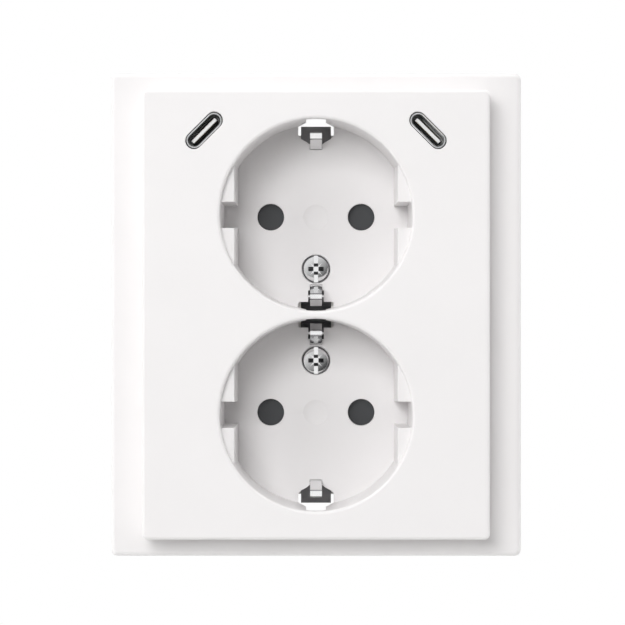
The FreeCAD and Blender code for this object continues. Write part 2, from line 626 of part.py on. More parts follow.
def make_plate_screw(label, side):
    """Plate screw: a domed head in the floor of a well, with a slot and a cross recess."""
    body = new_body(label)
    middle = f"({side} * ({well_up} - screw_offset))"
    top = f"({floor_front} + screw_head_rise)"
    edge = f"({floor_front} + screw_head_rise / 2)"
    seat = f"({floor_front} - screw_head_sink)"
    dome = "(screw_head_rise / 2)"
    dome_radius = f"((screw_head_radius^2 + {dome}^2) / (2 * {dome}))"
    profile = new_sketch(body, role="YZ_Plane", up=middle)
    outline(profile, [(f"-{top}", "0"), (f"-{edge}", "screw_head_radius"), (f"-{seat}", "screw_head_radius"),
                      (f"-{seat}", "screw_radius"), ("screw_reach", "screw_radius"), ("screw_reach", "0")],
            {0: (f"-{top} + {dome_radius}", "0", dome_radius)})
    turned = body.newObject("PartDesign::Revolution", "turned")
    turned.Profile = profile
    turned.ReferenceAxis = (profile, ["H_Axis"])
    turned.Angle = 360
    doc.recompute()
    slot = new_sketch(body, level=top)
    middle_rectangle(slot, "screw_slot_width", "3 * screw_head_radius", up=middle)
    pocket(body, slot, "screw_slot_depth")
    cross = new_sketch(body, level=top)
    middle_rectangle(cross, "2 * screw_cross_reach", "screw_slot_width", up=middle)
    pocket(body, cross, "screw_slot_depth")
    return body


def make_mounting_plate():
    """Steel plate on the wall: a round hole for the base and slots for the two box screws."""
    body = new_body("mounting_plate")
    sheet_metal = new_sketch(body)
    half_width, half_height = "(mount_width / 2)", "(mount_height / 2)"
    corners = []
    for across, up, steps in ((1, -1, ((1, 0), (0, 1))), (1, 1, ((0, 1), (1, 0))),
                              (-1, 1, ((1, 0), (0, 1))), (-1, -1, ((0, 1), (1, 0)))):
        for inset_across, inset_up in steps:
            corners.append((f"{across} * ({half_width} - {inset_across} * mount_corner)",
                            f"{up} * ({half_height} - {inset_up} * mount_corner)"))
    outline(sheet_metal, corners)
    pad(body, sheet_metal, "mount_wall")
    hole = new_sketch(body, level="mount_wall")
    circle(hole, "0", "0", f"{housing_bore}")
    pocket(body, hole, "mount_wall")
    rivets = new_sketch(body, level="mount_wall")
    for up in (1, -1):
        circle(rivets, "0", f"{up} * rivet_place", "rivet_radius + close_fit")
    pocket(body, rivets, "mount_wall")
    for side in (1, -1):
        slot = new_sketch(body, level="mount_wall", across=f"{side} * box_screw_spacing / 2")
        stadium(slot, "box_slot_length", "box_slot_width")
        pocket(body, slot, "mount_wall")
    return body


def make_insert_base():
    """Base: a moulding under the well floors that carries shutters, strap and screws."""
    body = new_body("insert_base")
    for side in (1, -1):
        under_well = new_sketch(body, level="mount_wall")
        circle(under_well, "0", f"{side} * {well_up}", "base_side")
        pad(body, under_well, f"{base_front} - mount_wall")
    middle = new_sketch(body, level="mount_wall")
    middle_rectangle(middle, "2 * base_side", "well_pitch")
    pad(body, middle, f"{base_front} - mount_wall")
    neck = new_sketch(body, level="-base_rear_wall")
    circle(neck, "0", "0", f"{housing_bore} - free_fit")
    pad(body, neck, "mount_wall + base_rear_wall")

    # Bosses behind it, for the plate screws and the housing screws
    bosses = new_sketch(body, level="-base_rear_wall")
    for up in (1, -1):
        circle(bosses, "0", f"{up} * ({well_up} - screw_offset)", "base_boss_radius")
    pad(body, bosses, "screw_reach + 2 * screw_point_room - base_rear_wall", backwards=True)
    corners = new_sketch(body, level="-base_rear_wall")
    for across, up in HOUSING_SCREWS:
        circle(corners, f"{across} * housing_screw_place", f"{up} * housing_screw_place",
               "housing_screw_radius + housing_wall")
    pad(body, corners, "housing_boss_seat", backwards=True)

    # Seats in its front, for the shutters, the strap and the earth bar
    shutters = new_sketch(body, level=base_front)
    posts = new_sketch(body, level=strap_back)
    for side in (1, -1):
        circle(shutters, "0", f"{side} * {well_up}", f"{pin_across} + shutter_pad_radius + 2 * free_fit")
        circle(posts, "0", f"{side} * {well_up}", "shutter_post_radius")
    pocket(body, shutters, f"{base_front} - {strap_front}")
    channel = new_sketch(body, level=base_front)
    middle_rectangle(channel, "earth_hole_width", f"2 * ({well_up} + earth_hole_end)")
    pocket(body, channel, f"{base_front} - {strap_back}")
    pad(body, posts, f"{base_front} - shutter_gap - {strap_back}")
    notches = new_sketch(body, level=base_front)
    for side in (1, -1):
        near, far = (f"{side} * ({well_up} + {reach})" for reach in ("earth_hole_full", "earth_slot_end"))
        low, high = (near, far) if side > 0 else (far, near)
        rectangle(notches, "-earth_hole_width / 2", "earth_hole_width / 2", low, high)
    pocket(body, notches, f"{base_front} - mount_wall")
    link_seat = new_sketch(body, level=base_front)
    rectangle(link_seat, "-bar_place - leaf_wall - close_fit", "earth_link_reach + close_fit",
              "-earth_link_width / 2 - close_fit", "earth_link_width / 2 + close_fit")
    pocket(body, link_seat, f"{base_front} - {strap_back} + leaf_wall")
    link_slot = new_sketch(body, level=base_front)
    rectangle(link_slot, "-bar_place - leaf_wall - close_fit", "-bar_place + close_fit",
              "-earth_link_width / 2 - close_fit", "earth_link_width / 2 + close_fit")
    pocket(body, link_slot, f"{base_front} + base_rear_wall")

    # Holes for pins, screws, rivets and the two leads
    holes = new_sketch(body, level=base_front)
    for side in (1, -1):
        for across in (1, -1):
            circle(holes, f"{across} * {pin_across}", f"{side} * {well_up}", "pin_hole_radius + free_fit")
    pocket(body, holes, f"{base_front} + base_rear_wall")
    bend_inside = "(lead_bend - lead_wall / 2)"
    slot_top = f"(lead_up + lead_bend - sqrt(2 * {bend_inside} * lead_lift - lead_lift^2) + free_fit)"
    slot_foot = "(lead_up - lead_wall / 2 - free_fit)"
    leads = new_sketch(body, level="mount_wall")
    for side in (1, -1):
        rectangle(leads, f"{side} * lead_across - lead_width / 2 - free_fit",
                  f"{side} * lead_across + lead_width / 2 + free_fit", slot_foot, slot_top)
    pocket(body, leads, "mount_wall + base_rear_wall")
    rivets = new_sketch(body, level=strap_back)
    screws = new_sketch(body, level=strap_back)
    for side in (1, -1):
        circle(rivets, "0", f"{side} * rivet_place", "rivet_radius + close_fit")
        circle(screws, "0", f"{side} * ({well_up} - screw_offset)", "screw_radius + close_fit")
    pocket(body, rivets, "strap_seat")
    pocket(body, screws, f"{strap_back} + screw_reach + screw_point_room")
    pilots = new_sketch(body, level="-base_rear_wall - housing_boss_seat")
    for across, up in HOUSING_SCREWS:
        circle(pilots, f"{across} * housing_screw_place", f"{up} * housing_screw_place",
               "housing_screw_radius + close_fit")
    pocket(body, pilots, "housing_screw_grip + screw_point_room", forwards=True)
    return body


def make_rear_housing():
    """Rear housing: a round cup in the wall box, with wire holes and openings for the buttons."""
    body = new_body("rear_housing")
    cup = new_sketch(body, level=housing_back)
    circle(cup, "0", "0", "housing_radius")
    pad(body, cup, f"-{housing_back}")
    back = number(housing_back)
    chamfer(body, "housing_bevel", lambda edge: at_level(edge, back))
    hollow = new_sketch(body)
    circle(hollow, "0", "0", housing_bore)
    pocket(body, hollow, f"-{room_back}")
    bosses = new_sketch(body, level=f"{room_back} - housing_wall / 2")
    tunnels = new_sketch(body, level=housing_back)
    shanks = new_sketch(body, level=housing_back)
    for across, up in HOUSING_SCREWS:
        place = (f"{across} * housing_screw_place", f"{up} * housing_screw_place")
        circle(bosses, *place, "housing_boss_radius")
        circle(tunnels, *place, "housing_screw_head + free_fit")
        circle(shanks, *place, "housing_screw_radius + free_fit")
    pad(body, bosses, f"{boss_seat} - {room_back} + housing_wall / 2")
    pocket(body, tunnels, f"{boss_seat} - {housing_back} - housing_screw_seat", forwards=True)
    pocket(body, shanks, f"{boss_seat} - {housing_back}", forwards=True)
    openings = new_sketch(body, level=housing_back)
    for place, side in TERMINALS:
        for up in (1, -1):
            circle(openings, f"{place} + {side} * wire_hole_offset", f"{up} * wire_hole_place",
                   "wire_hole_radius")
        middle_rectangle(openings, "button_width + 2 * close_fit", "button_height + 2 * close_fit",
                         across=f"({place} - {side} * button_offset)")
    pocket(body, openings, "housing_wall", forwards=True)
    return body


def make_housing_screws():
    """Two screws from behind, sunk in the housing's tunnels."""
    screws = []
    seat = f"({boss_seat} - housing_screw_seat)"
    for across, up in HOUSING_SCREWS:
        shank = doc.addObject("Part::Cylinder", "shank")
        shank.setExpression("Radius", bound("housing_screw_radius"))
        shank.setExpression("Height", bound("housing_screw_grip + housing_screw_seat"))
        head = doc.addObject("Part::Cylinder", "head")
        head.setExpression("Radius", bound("housing_screw_head"))
        head.setExpression("Height", bound("housing_screw_head_wall"))
        for piece, level in ((shank, seat), (head, f"({seat} - housing_screw_head_wall)")):
            piece.Placement.Rotation = FreeCAD.Rotation(FreeCAD.Vector(1, 0, 0), 90)
            piece.setExpression("Placement.Base.x", bound(f"{across} * housing_screw_place"))
            piece.setExpression("Placement.Base.y", bound(f"-{level}"))
            piece.setExpression("Placement.Base.z", bound(f"{up} * housing_screw_place"))
        slot = doc.addObject("Part::Box", "slot")
        slot.setExpression("Length", bound("2 * housing_screw_head"))
        slot.setExpression("Width", bound("housing_screw_head_wall / 2"))
        slot.setExpression("Height", bound("housing_screw_head / 4"))
        slot.setExpression("Placement.Base.x", bound(f"{across} * housing_screw_place - housing_screw_head"))
        slot.setExpression("Placement.Base.y", bound(f"-{seat} + housing_screw_head_wall / 2"))
        slot.setExpression("Placement.Base.z", bound(f"{up} * housing_screw_place - housing_screw_head / 8"))
        blank = doc.addObject("Part::Fuse", "blank")
        blank.Base, blank.Tool = shank, head
        screw = doc.addObject("Part::Cut", "screw")
        screw.Base, screw.Tool = blank, slot
        screws.append(screw)
    group = doc.addObject("Part::Compound", "housing_screws")
    group.Label = "housing_screws"
    group.Links = screws
    return group


def make_shutter(label, side):
    """Shutter: a hub and two round ends that cover the pin holes of one well."""
    body = new_body(label)
    plate = new_sketch(body, level=shutter_back, up=f"{side} * {well_up}")
    circle(plate, "0", "0", "shutter_hub_radius")
    pad(body, plate, "shutter_wall")
    arm = new_sketch(body, level=shutter_back, up=f"{side} * {well_up}")
    middle_rectangle(arm, "pin_spacing", "shutter_arm")
    pad(body, arm, "shutter_wall")
    for across in (1, -1):
        end = new_sketch(body, level=shutter_back, up=f"{side} * {well_up}")
        circle(end, f"{across} * {pin_across}", "0", "shutter_pad_radius")
        pad(body, end, "shutter_wall")
    seat = new_sketch(body, level=shutter_front, up=f"{side} * {well_up}")
    circle(seat, "0", "0", "spring_radius + spring_wire")
    pocket(body, seat, "spring_seat_depth")
    bore = new_sketch(body, level=shutter_front, up=f"{side} * {well_up}")
    circle(bore, "0", "0", "shutter_post_radius + close_fit")
    pocket(body, bore, "shutter_wall")
    return body


def make_shutter_spring(label, side):
    """Shutter spring: close turns of flat steel wire round the post, one end turned in to it."""
    body = new_body(label)
    foot = f"({shutter_front} - spring_seat_depth + close_fit / 2)"
    turns = new_sketch(body, level=foot, up=f"{side} * {well_up}")
    circle(turns, "0", "0", "spring_radius + spring_wire / 2")
    circle(turns, "0", "0", "spring_radius - spring_wire / 2")
    pad(body, turns, "2 * spring_wire")
    end = new_sketch(body, level=foot, up=f"{side} * {well_up}")
    rectangle(end, "shutter_post_radius + close_fit", "spring_radius", "-spring_wire / 2", "spring_wire / 2")
    pad(body, end, "spring_wire")
    return body


def make_earth_strap():
    """Earth strap: one stamped strip with four bent-up fingers, two in each well."""
    body = new_body("earth_strap")
    strip = new_sketch(body, level=strap_back)
    middle_rectangle(strip, "strap_width", f"2 * ({well_up} + finger_end)")
    pad(body, strip, "strap_wall")
    for side in (1, -1):
        for end in (1, -1):
            wings = new_sketch(body, level=strap_back)
            outward = f"({side} * {well_up} + {end} * (%s))"
            outline(wings, [("-strap_width / 2", outward % "finger_root - finger_wing"),
                            ("-wing_width / 2", outward % "finger_root"),
                            ("-wing_width / 2", outward % "finger_end + strap_wall / 2"),
                            ("wing_width / 2", outward % "finger_end + strap_wall / 2"),
                            ("wing_width / 2", outward % "finger_root"),
                            ("strap_width / 2", outward % "finger_root - finger_wing")])
            pad(body, wings, "strap_wall")
            finger = new_sketch(body, role="YZ_Plane")
            peak = f"({floor_front} + finger_rise)"
            tip = f"({floor_front} + finger_tip_rise)"
            outline(finger, [
                (f"-{strap_front} + strap_wall / 2", outward % "finger_root - strap_wall"),
                (f"-{strap_front}", outward % "finger_root - strap_wall"),
                (f"-{peak}", outward % "finger_peak - finger_flat / 2"),
                (f"-{peak}", outward % "finger_peak + finger_flat / 2"),
                (f"-{tip}", outward % "finger_end"),
                (f"-{tip} + strap_wall", outward % "finger_end - strap_wall / 4"),
                (f"-{peak} + strap_wall", outward % "finger_peak + finger_flat / 4"),
                (f"-{peak} + strap_wall", outward % "finger_peak - finger_flat / 4"),
                (f"-{strap_front}", outward % "finger_root"),
                (f"-{strap_front} + strap_wall / 2", outward % "finger_root")])
            pad(body, finger, "finger_width", both_ways=True)
    holes = new_sketch(body, level=strap_front)
    for side in (1, -1):
        circle(holes, "0", f"{side} * {well_up}", "shutter_post_radius + free_fit")
        circle(holes, "0", f"{side} * ({well_up} - screw_offset)", "screw_radius + free_fit")
        circle(holes, "0", f"{side} * rivet_place", "rivet_radius + close_fit")
    pocket(body, holes, "strap_wall")
    return body


def make_earth_rivets():
    """Two rivets that hold the strap, the base and the mounting plate together."""
    rivets = []
    for side in (1, -1):
        shank = doc.addObject("Part::Cylinder", "shank")
        shank.setExpression("Radius", bound("rivet_radius"))
        shank.setExpression("Height", bound(strap_front))
        head = doc.addObject("Part::Cylinder", "head")
        head.setExpression("Radius", bound("rivet_head_radius"))
        head.setExpression("Height", bound("rivet_head_wall"))
        for piece, level in ((shank, "0"), (head, strap_front)):
            piece.Placement.Rotation = FreeCAD.Rotation(FreeCAD.Vector(1, 0, 0), 90)
            piece.setExpression("Placement.Base.y", bound(f"-{level}"))
            piece.setExpression("Placement.Base.z", bound(f"{side} * rivet_place"))
        rivet = doc.addObject("Part::Fuse", "rivet")
        rivet.Base, rivet.Tool = shank, head
        rivets.append(rivet)
    group = doc.addObject("Part::Compound", "earth_rivets")
    group.Label = "earth_rivets"
    group.Links = rivets
    return group


def make_earth_bar():
    """Earth bar: runs from under the strap through the base to the earth terminal."""
    body = new_body("earth_bar")
    link = new_sketch(body, role="XY_Plane")
    front = f"-{strap_back}"
    back = f"(-{strip_back} + bar_length)"
    outline(link, [("-bar_place - leaf_wall", front), ("earth_link_reach", front),
                   ("earth_link_reach", f"{front} + leaf_wall"), ("-bar_place", f"{front} + leaf_wall"),
                   ("-bar_place", back), ("-bar_place - leaf_wall", back)])
    pad(body, link, "earth_link_width", both_ways=True)
    bar = new_sketch(body, role="XY_Plane")
    rectangle(bar, "-bar_place - leaf_wall", "-bar_place", f"-{contact_back}", back)
    pad(body, bar, "bar_width", both_ways=True)
    return body


def make_contact(label, side):
    """Live or neutral contact: a stamped strip with two forks for pins and a terminal bar."""
    body = new_body(label)
    middle = f"({side} * {pin_across})"
    mouth = "(base_rear_wall + board_gap)"
    neck = f"({mouth} + leaf_neck_place)"
    root = f"-{contact_back}"
    outer = [("leaf_mouth", mouth), ("leaf_neck", neck), ("leaf_root", root)]
    for end in (1, -1):
        fork = new_sketch(body, role="XY_Plane", level=f"{end} * {well_up}")
        corners = [(f"{middle} - {half} - leaf_wall", depth) for half, depth in outer[:2]]
        corners.append((f"{middle} - leaf_root - leaf_wall", f"{root} + leaf_wall"))
        corners.append((f"{middle} + leaf_root + leaf_wall", f"{root} + leaf_wall"))
        corners += [(f"{middle} + {half} + leaf_wall", depth) for half, depth in reversed(outer[:2])]
        corners += [(f"{middle} + {half}", depth) for half, depth in outer]
        corners += [(f"{middle} - {half}", depth) for half, depth in reversed(outer)]
        outline(fork, corners)
        pad(body, fork, "leaf_width", both_ways=True)
    strip = new_sketch(body, level=strip_back)
    middle_rectangle(strip, "contact_strip", "well_pitch", across=middle)
    pad(body, strip, "leaf_wall")
    tab = new_sketch(body, level=strip_back)
    near, far = middle, f"({side} * (terminal_place + bar_place + leaf_wall))"
    left, right = (near, far) if side > 0 else (far, near)
    rectangle(tab, left, right, "-bar_width / 2", "bar_width / 2")
    pad(body, tab, "leaf_wall")
    bar = new_sketch(body, role="XY_Plane")
    inner, outer_face = f"({side} * (terminal_place + bar_place))", far
    left, right = (inner, outer_face) if side > 0 else (outer_face, inner)
    rectangle(bar, left, right, f"-{contact_back}", f"(-{strip_back} + bar_length)")
    pad(body, bar, "bar_width", both_ways=True)
    return body


def make_clamp_spring(label, place, side):
    """Clamp spring: a bent leaf that presses a wire against its terminal bar."""
    body = new_body(label)
    leaf = new_sketch(body, role="XY_Plane")
    start = f"(-{board_front} + board_gap)"
    top = f"({start} + clamp_rise)"
    tip = f"({start} + clamp_tip_rise)"

    def spot(away, depth):
        return f"{place} - {side} * ({away})", depth

    outline(leaf, [spot("clamp_root + clamp_wall", start), spot("clamp_root + clamp_wall", top),
                   spot("clamp_root - clamp_wall", top), spot("-bar_place + board_gap", tip),
                   spot("-bar_place + board_gap", f"{tip} - clamp_edge"),
                   spot("clamp_root", f"{top} - clamp_wall"), spot("clamp_root", start)])
    pad(body, leaf, "clamp_width", both_ways=True)
    return body


def make_release_button(label, place, side):
    """Release button: pushed in from behind, it lifts the clamp spring off its wire."""
    body = new_body(label)
    middle = f"({place} - {side} * button_offset)"
    stem = new_sketch(body, level=f"{room_back} + shutter_gap")
    middle_rectangle(stem, "button_width", "button_height", across=middle)
    pad(body, stem, "button_rise + housing_wall + shutter_gap", backwards=True)
    end = number(f"{housing_back} - button_rise")
    fillet(body, "button_edge_round", lambda edge: at_level(edge, end))
    flange = new_sketch(body, level=f"{room_back} + shutter_gap")
    middle_rectangle(flange, "button_width + 2 * button_flange", "button_height + 2 * button_flange",
                     across=middle)
    pad(body, flange, "button_flange_wall")
    groove = new_sketch(body, level=f"{housing_back} - button_rise")
    middle_rectangle(groove, "button_width", "button_groove", across=middle)
    pocket(body, groove, "button_groove", forwards=True)
    return body


def place_at_port(body, side):
    """Move a body that is drawn round the origin to its port, turned with it."""
    body.Placement = FreeCAD.Placement(FreeCAD.Vector(0, 0, 0),
                                       FreeCAD.Rotation(FreeCAD.Vector(0, 1, 0), side * number("port_turn")))
    body.setExpression("Placement.Base.x", bound(f"{side} * port_across"))
    body.setExpression("Placement.Base.z", bound("port_up"))


def make_usb_shell(label, side):
    """USB shell: a drawn steel tube with a closed rear end."""
    body = new_body(label)
    tube = new_sketch(body, level=port_board_front)
    stadium(tube, "shell_length", "shell_width")
    pad(body, tube, "shell_depth")
    mouth = new_sketch(body, level=f"{plate_front} - shell_sink")
    stadium(mouth, "shell_length - 2 * shell_wall", "shell_width - 2 * shell_wall")
    pocket(body, mouth, "shell_depth - shell_wall")
    place_at_port(body, side)
    return body


def make_usb_tongue(label, side):
    """USB tongue: the moulded block at the back of the shell and the contact tongue on it."""
    body = new_body(label)
    block = new_sketch(body, level=f"{port_board_front} + shell_wall")
    stadium(block, "shell_length - 2 * shell_wall - 2 * close_fit",
            "shell_width - 2 * shell_wall - 2 * close_fit")
    pad(body, block, "tongue_foot")
    tongue = new_sketch(body, level=f"{port_board_front} + shell_wall + tongue_foot")
    middle_rectangle(tongue, "tongue_length", "tongue_wall")
    pad(body, tongue, "shell_depth - shell_wall - tongue_foot - tongue_sink")
    place_at_port(body, side)
    return body


def make_usb_board(label, side):
    """Small board that the shell is soldered to, on the two posts of the plate."""
    body = new_body(label)
    board = new_sketch(body, level=port_board_back)
    stadium(board, "port_board_length", "port_board_width")
    pad(body, board, "port_board_wall")
    holes = new_sketch(body, level=port_board_front)
    for end in (1, -1):
        circle(holes, f"{end} * port_post_place", "0", "port_screw_radius + close_fit")
    pocket(body, holes, "port_board_wall")
    place_at_port(body, side)
    return body


def make_usb_board_screws():
    """Four small screws that hold the two small boards."""
    screws = []
    turn = number("port_turn")
    for side in (1, -1):
        for end in (1, -1):
            shank = doc.addObject("Part::Cylinder", "shank")
            shank.setExpression("Radius", bound("port_screw_radius"))
            shank.setExpression("Height", bound("port_screw_length"))
            head = doc.addObject("Part::Cylinder", "head")
            head.setExpression("Radius", bound("port_screw_head"))
            head.setExpression("Height", bound("port_screw_head_wall"))
            head_back = f"({port_board_back} - port_screw_head_wall)"
            for piece, level in ((shank, port_board_back), (head, head_back)):
                piece.Placement.Rotation = FreeCAD.Rotation(FreeCAD.Vector(1, 0, 0), 90)
                across = f"{side} * port_across + {end} * port_post_place * cos(port_turn * 1deg)"
                up = f"port_up - {side} * {end} * port_post_place * sin(port_turn * 1deg)"
                piece.setExpression("Placement.Base.x", bound(across))
                piece.setExpression("Placement.Base.y", bound(f"-{level}"))
                piece.setExpression("Placement.Base.z", bound(up))
            screw = doc.addObject("Part::Fuse", "screw")
            screw.Base, screw.Tool = shank, head
            screws.append(screw)
    group = doc.addObject("Part::Compound", "usb_board_screws")
    group.Label = "usb_board_screws"
    group.Links = screws
    return group


def make_usb_lead(label, side):
    """USB lead: a ribbon from the small board to the mounting plate, down it and through the base."""
    body = new_body(label)
    line = "(mount_wall + lead_lift + lead_wall / 2)"
    path = new_sketch(body, role="YZ_Plane", level=f"{side} * lead_across")
    bend = "lead_bend"
    outline(path, [(f"-{port_board_back}", "port_up"), (f"-{line} - {bend}", "port_up"),
                   (f"-{line}", f"port_up - {bend}"), (f"-{line}", f"lead_up + {bend}"),
                   (f"-{line} + {bend}", "lead_up"), (f"-{board_front}", "lead_up")],
            {1: (f"-{line} - {bend}", f"port_up - {bend}", bend),
             3: (f"-{line} + {bend}", f"lead_up + {bend}", bend)}, closed=False)
    section = new_sketch(body, level=port_board_back)
    middle_rectangle(section, "lead_width", "lead_wall", across=f"({side} * lead_across)", up="port_up")
    ribbon = body.newObject("PartDesign::AdditivePipe", "ribbon")
    ribbon.Profile = section
    ribbon.Spine = (path, [])
    doc.recompute()
    return body


def make_charger_board():
    """Charger board: a round circuit board with openings for the three terminals."""
    body = new_body("charger_board")
    board = new_sketch(body, level=board_back)
    circle(board, "0", "0", f"{housing_bore} - board_gap")
    pad(body, board, "board_wall")
    middle = new_sketch(body, level=board_front)
    middle_rectangle(middle, "2 * terminal_half", "2 * terminal_half")
    pocket(body, middle, "board_wall")
    for side in (1, -1):
        opening = new_sketch(body, level=board_front)
        near, far = f"({side} * (terminal_place - terminal_half))", f"({side} * housing_radius)"
        left, right = (near, far) if side > 0 else (far, near)
        rectangle(opening, left, right, "-terminal_half", "terminal_half")
        pocket(body, opening, "board_wall")
    for across, up in HOUSING_SCREWS:
        notch = new_sketch(body, level=board_front)
        circle(notch, f"{across} * housing_screw_place", f"{up} * housing_screw_place",
               "housing_boss_radius + board_gap")
        pocket(body, notch, "board_wall")
    return body


def make_transformer_core():
    """Transformer core: pressed ferrite with a middle leg between two windows."""
    body = new_body("transformer_core")
    front, back = f"-{board_back}", f"(-{board_back} + core_depth)"
    frame = new_sketch(body, role="XY_Plane", level="core_up")
    middle_rectangle(frame, "core_width", "core_depth", up=f"({front} + core_depth / 2)")
    for side in (1, -1):
        near, far = f"({side} * core_leg)", f"({side} * (core_width / 2 - core_side))"
        left, right = (near, far) if side > 0 else (far, near)
        rectangle(frame, left, right, f"{front} + core_side", f"{back} - core_side")
    pad(body, frame, "core_height", both_ways=True)
    return body


def make_transformer_winding():
    """Transformer winding: taped turns round the middle leg."""
    body = new_body("transformer_winding")
    front = f"(-{board_back} + core_side + board_gap)"
    back = f"(-{board_back} + core_depth - core_side - board_gap)"
    turns = new_sketch(body, level=f"-{front}")
    half = "(core_width / 2 - core_side - board_gap)"
    middle_rectangle(turns, f"2 * {half}", "core_height + 2 * core_leg", up="core_up")
    pad(body, turns, f"{back} - {front}", backwards=True)
    fillet(body, "core_leg / 2", runs_back)
    leg = new_sketch(body, level=f"-{front}")
    middle_rectangle(leg, "2 * core_leg + 2 * close_fit", "core_height + 2 * close_fit", up="core_up")
    pocket(body, leg, f"{back} - {front}")
    return body


def make_round_part(label, radius, length, across, depth, up, turn_axis):
    """A round electronic part that lies or stands on the charger board."""
    part = doc.addObject("Part::Cylinder", label)
    part.setExpression("Radius", bound(radius))
    part.setExpression("Height", bound(length))
    part.Placement.Rotation = FreeCAD.Rotation(turn_axis, 90)
    part.setExpression("Placement.Base.x", bound(across))
    part.setExpression("Placement.Base.y", bound(depth))
    part.setExpression("Placement.Base.z", bound(up))
    part.Label = label
    return part


def make_chip(label, length, width, height, across, up):
    """A moulded electronic part on the back of the charger board."""
    body = new_body(label)
    block = new_sketch(body, level=board_back)
    middle_rectangle(block, length, width, across=f"({across})", up=f"({up})")
    pad(body, block, height, backwards=True, draft="-3")
    return body


make_cover_frame()
make_centre_plate()
make_plate_screw("plate_screw_upper", 1)
make_plate_screw("plate_screw_lower", -1)
make_mounting_plate()
make_insert_base()
make_rear_housing()
make_housing_screws()
make_shutter("shutter_upper", 1)
make_shutter("shutter_lower", -1)
make_shutter_spring("shutter_spring_upper", 1)
make_shutter_spring("shutter_spring_lower", -1)
make_earth_strap()
make_earth_rivets()
make_earth_bar()
make_contact("live_contact", -1)
make_contact("neutral_contact", 1)
for name, (place, side) in zip(("live", "neutral", "earth"), TERMINALS):
    make_clamp_spring("clamp_spring_" + name, place, side)
    make_release_button("release_button_" + name, place, side)
for name, side in (("left", -1), ("right", 1)):
    make_usb_shell("usb_shell_" + name, side)
    make_usb_tongue("usb_tongue_" + name, side)
    make_usb_board("usb_board_" + name, side)
    make_usb_lead("usb_lead_" + name, side)
make_usb_board_screws()
make_charger_board()
make_transformer_core()
make_transformer_winding()
board_face = f"(-{board_back})"
make_round_part("input_capacitor", "input_capacitor_radius", "input_capacitor_length",
                "-input_capacitor_length / 2", f"{board_face} + input_capacitor_radius",
                "-input_capacitor_down", FreeCAD.Vector(0, 1, 0))
make_round_part("output_capacitor", "output_capacitor_radius", "output_capacitor_length",
                "small_part_across", f"{board_face} + output_capacitor_length", "small_part_up",
                FreeCAD.Vector(1, 0, 0))
make_round_part("fuse", "fuse_radius", "fuse_length", "-small_part_across - fuse_length / 2",
                f"{board_face} + fuse_radius", "-small_part_up", FreeCAD.Vector(0, 1, 0))
make_chip("bridge_rectifier", "bridge_width", "bridge_width", "bridge_height",
          "-small_part_across", "small_part_up")
make_chip("converter_chip", "chip_length", "chip_width", "chip_height",
          "small_part_across", "-small_part_up")
doc.recompute()

NODES = [
    "cover_frame", "centre_plate", "plate_screw_upper", "plate_screw_lower", "mounting_plate", "insert_base",
    "rear_housing", "housing_screws", "shutter_upper", "shutter_lower", "shutter_spring_upper",
    "shutter_spring_lower", "earth_strap", "earth_rivets", "earth_bar", "live_contact", "neutral_contact",
    "clamp_spring_live", "clamp_spring_neutral", "clamp_spring_earth", "release_button_live",
    "release_button_neutral", "release_button_earth", "usb_shell_left", "usb_shell_right", "usb_tongue_left",
    "usb_tongue_right", "usb_board_left", "usb_board_right", "usb_lead_left", "usb_lead_right",
    "usb_board_screws", "charger_board", "transformer_core", "transformer_winding", "input_capacitor",
    "output_capacitor", "bridge_rectifier", "converter_chip", "fuse",
]

for thing in doc.Objects:
    if {"Invalid", "Error"} & set(thing.State):
        raise RuntimeError(f"{thing.Label} failed: {thing.State}")
pieces = {}
for node in NODES:
    shape = doc.getObjectsByLabel(node)[0].Shape
    if shape.isNull() or not shape.isValid() or not shape.Solids:
        raise RuntimeError(f"{node} has no sound solid")
    pieces[node] = shape

os.makedirs("parts", exist_ok=True)
for node, shape in pieces.items():
    shape.exportStep(f"parts/{node}.step")
print(f"{len(pieces)} nodes written")
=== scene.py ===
"""Looks of a double side-earthed wall socket with two USB-C charging ports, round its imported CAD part.

The front faces -Y and Z is up. The wall surface is y = 0. Pieces are drawn in millimetres, as a level in
front of the wall where it says level, and are scaled to metres when they are finished.
"""
import math

import bmesh
import bpy
from mathutils import Matrix, Vector


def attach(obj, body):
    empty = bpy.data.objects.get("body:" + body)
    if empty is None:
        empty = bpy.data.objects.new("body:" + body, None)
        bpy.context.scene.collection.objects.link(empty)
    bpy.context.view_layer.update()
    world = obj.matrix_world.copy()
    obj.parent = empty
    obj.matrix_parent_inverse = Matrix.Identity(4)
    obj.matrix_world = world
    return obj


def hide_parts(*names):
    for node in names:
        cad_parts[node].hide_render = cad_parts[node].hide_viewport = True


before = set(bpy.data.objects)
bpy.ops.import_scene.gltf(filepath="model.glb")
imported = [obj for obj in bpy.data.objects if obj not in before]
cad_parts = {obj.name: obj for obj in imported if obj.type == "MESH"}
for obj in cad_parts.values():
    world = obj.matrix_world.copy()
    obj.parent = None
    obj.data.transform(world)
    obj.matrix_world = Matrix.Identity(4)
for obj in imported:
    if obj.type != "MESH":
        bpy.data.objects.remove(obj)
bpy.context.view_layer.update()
scene = bpy.context.scene
scene.view_settings.view_transform = "Standard"
MM = 0.001


# Studio: a white backdrop and a pale floor, well away from the part, which hangs at wall height.
# A large grey card stands behind the camera, so that most light comes in from the sides, and a small
# sheet of white paper in the middle of it is what the flat metal faces mirror.
def linear(code, alpha=1.0):
    """The scene-linear colour of an sRGB hex code such as F4F4F2."""
    parts = [int(code[at:at + 2], 16) / 255 for at in (0, 2, 4)]
    return tuple(c / 12.92 if c <= 0.04045 else ((c + 0.055) / 1.055) ** 2.4 for c in parts) + (alpha,)


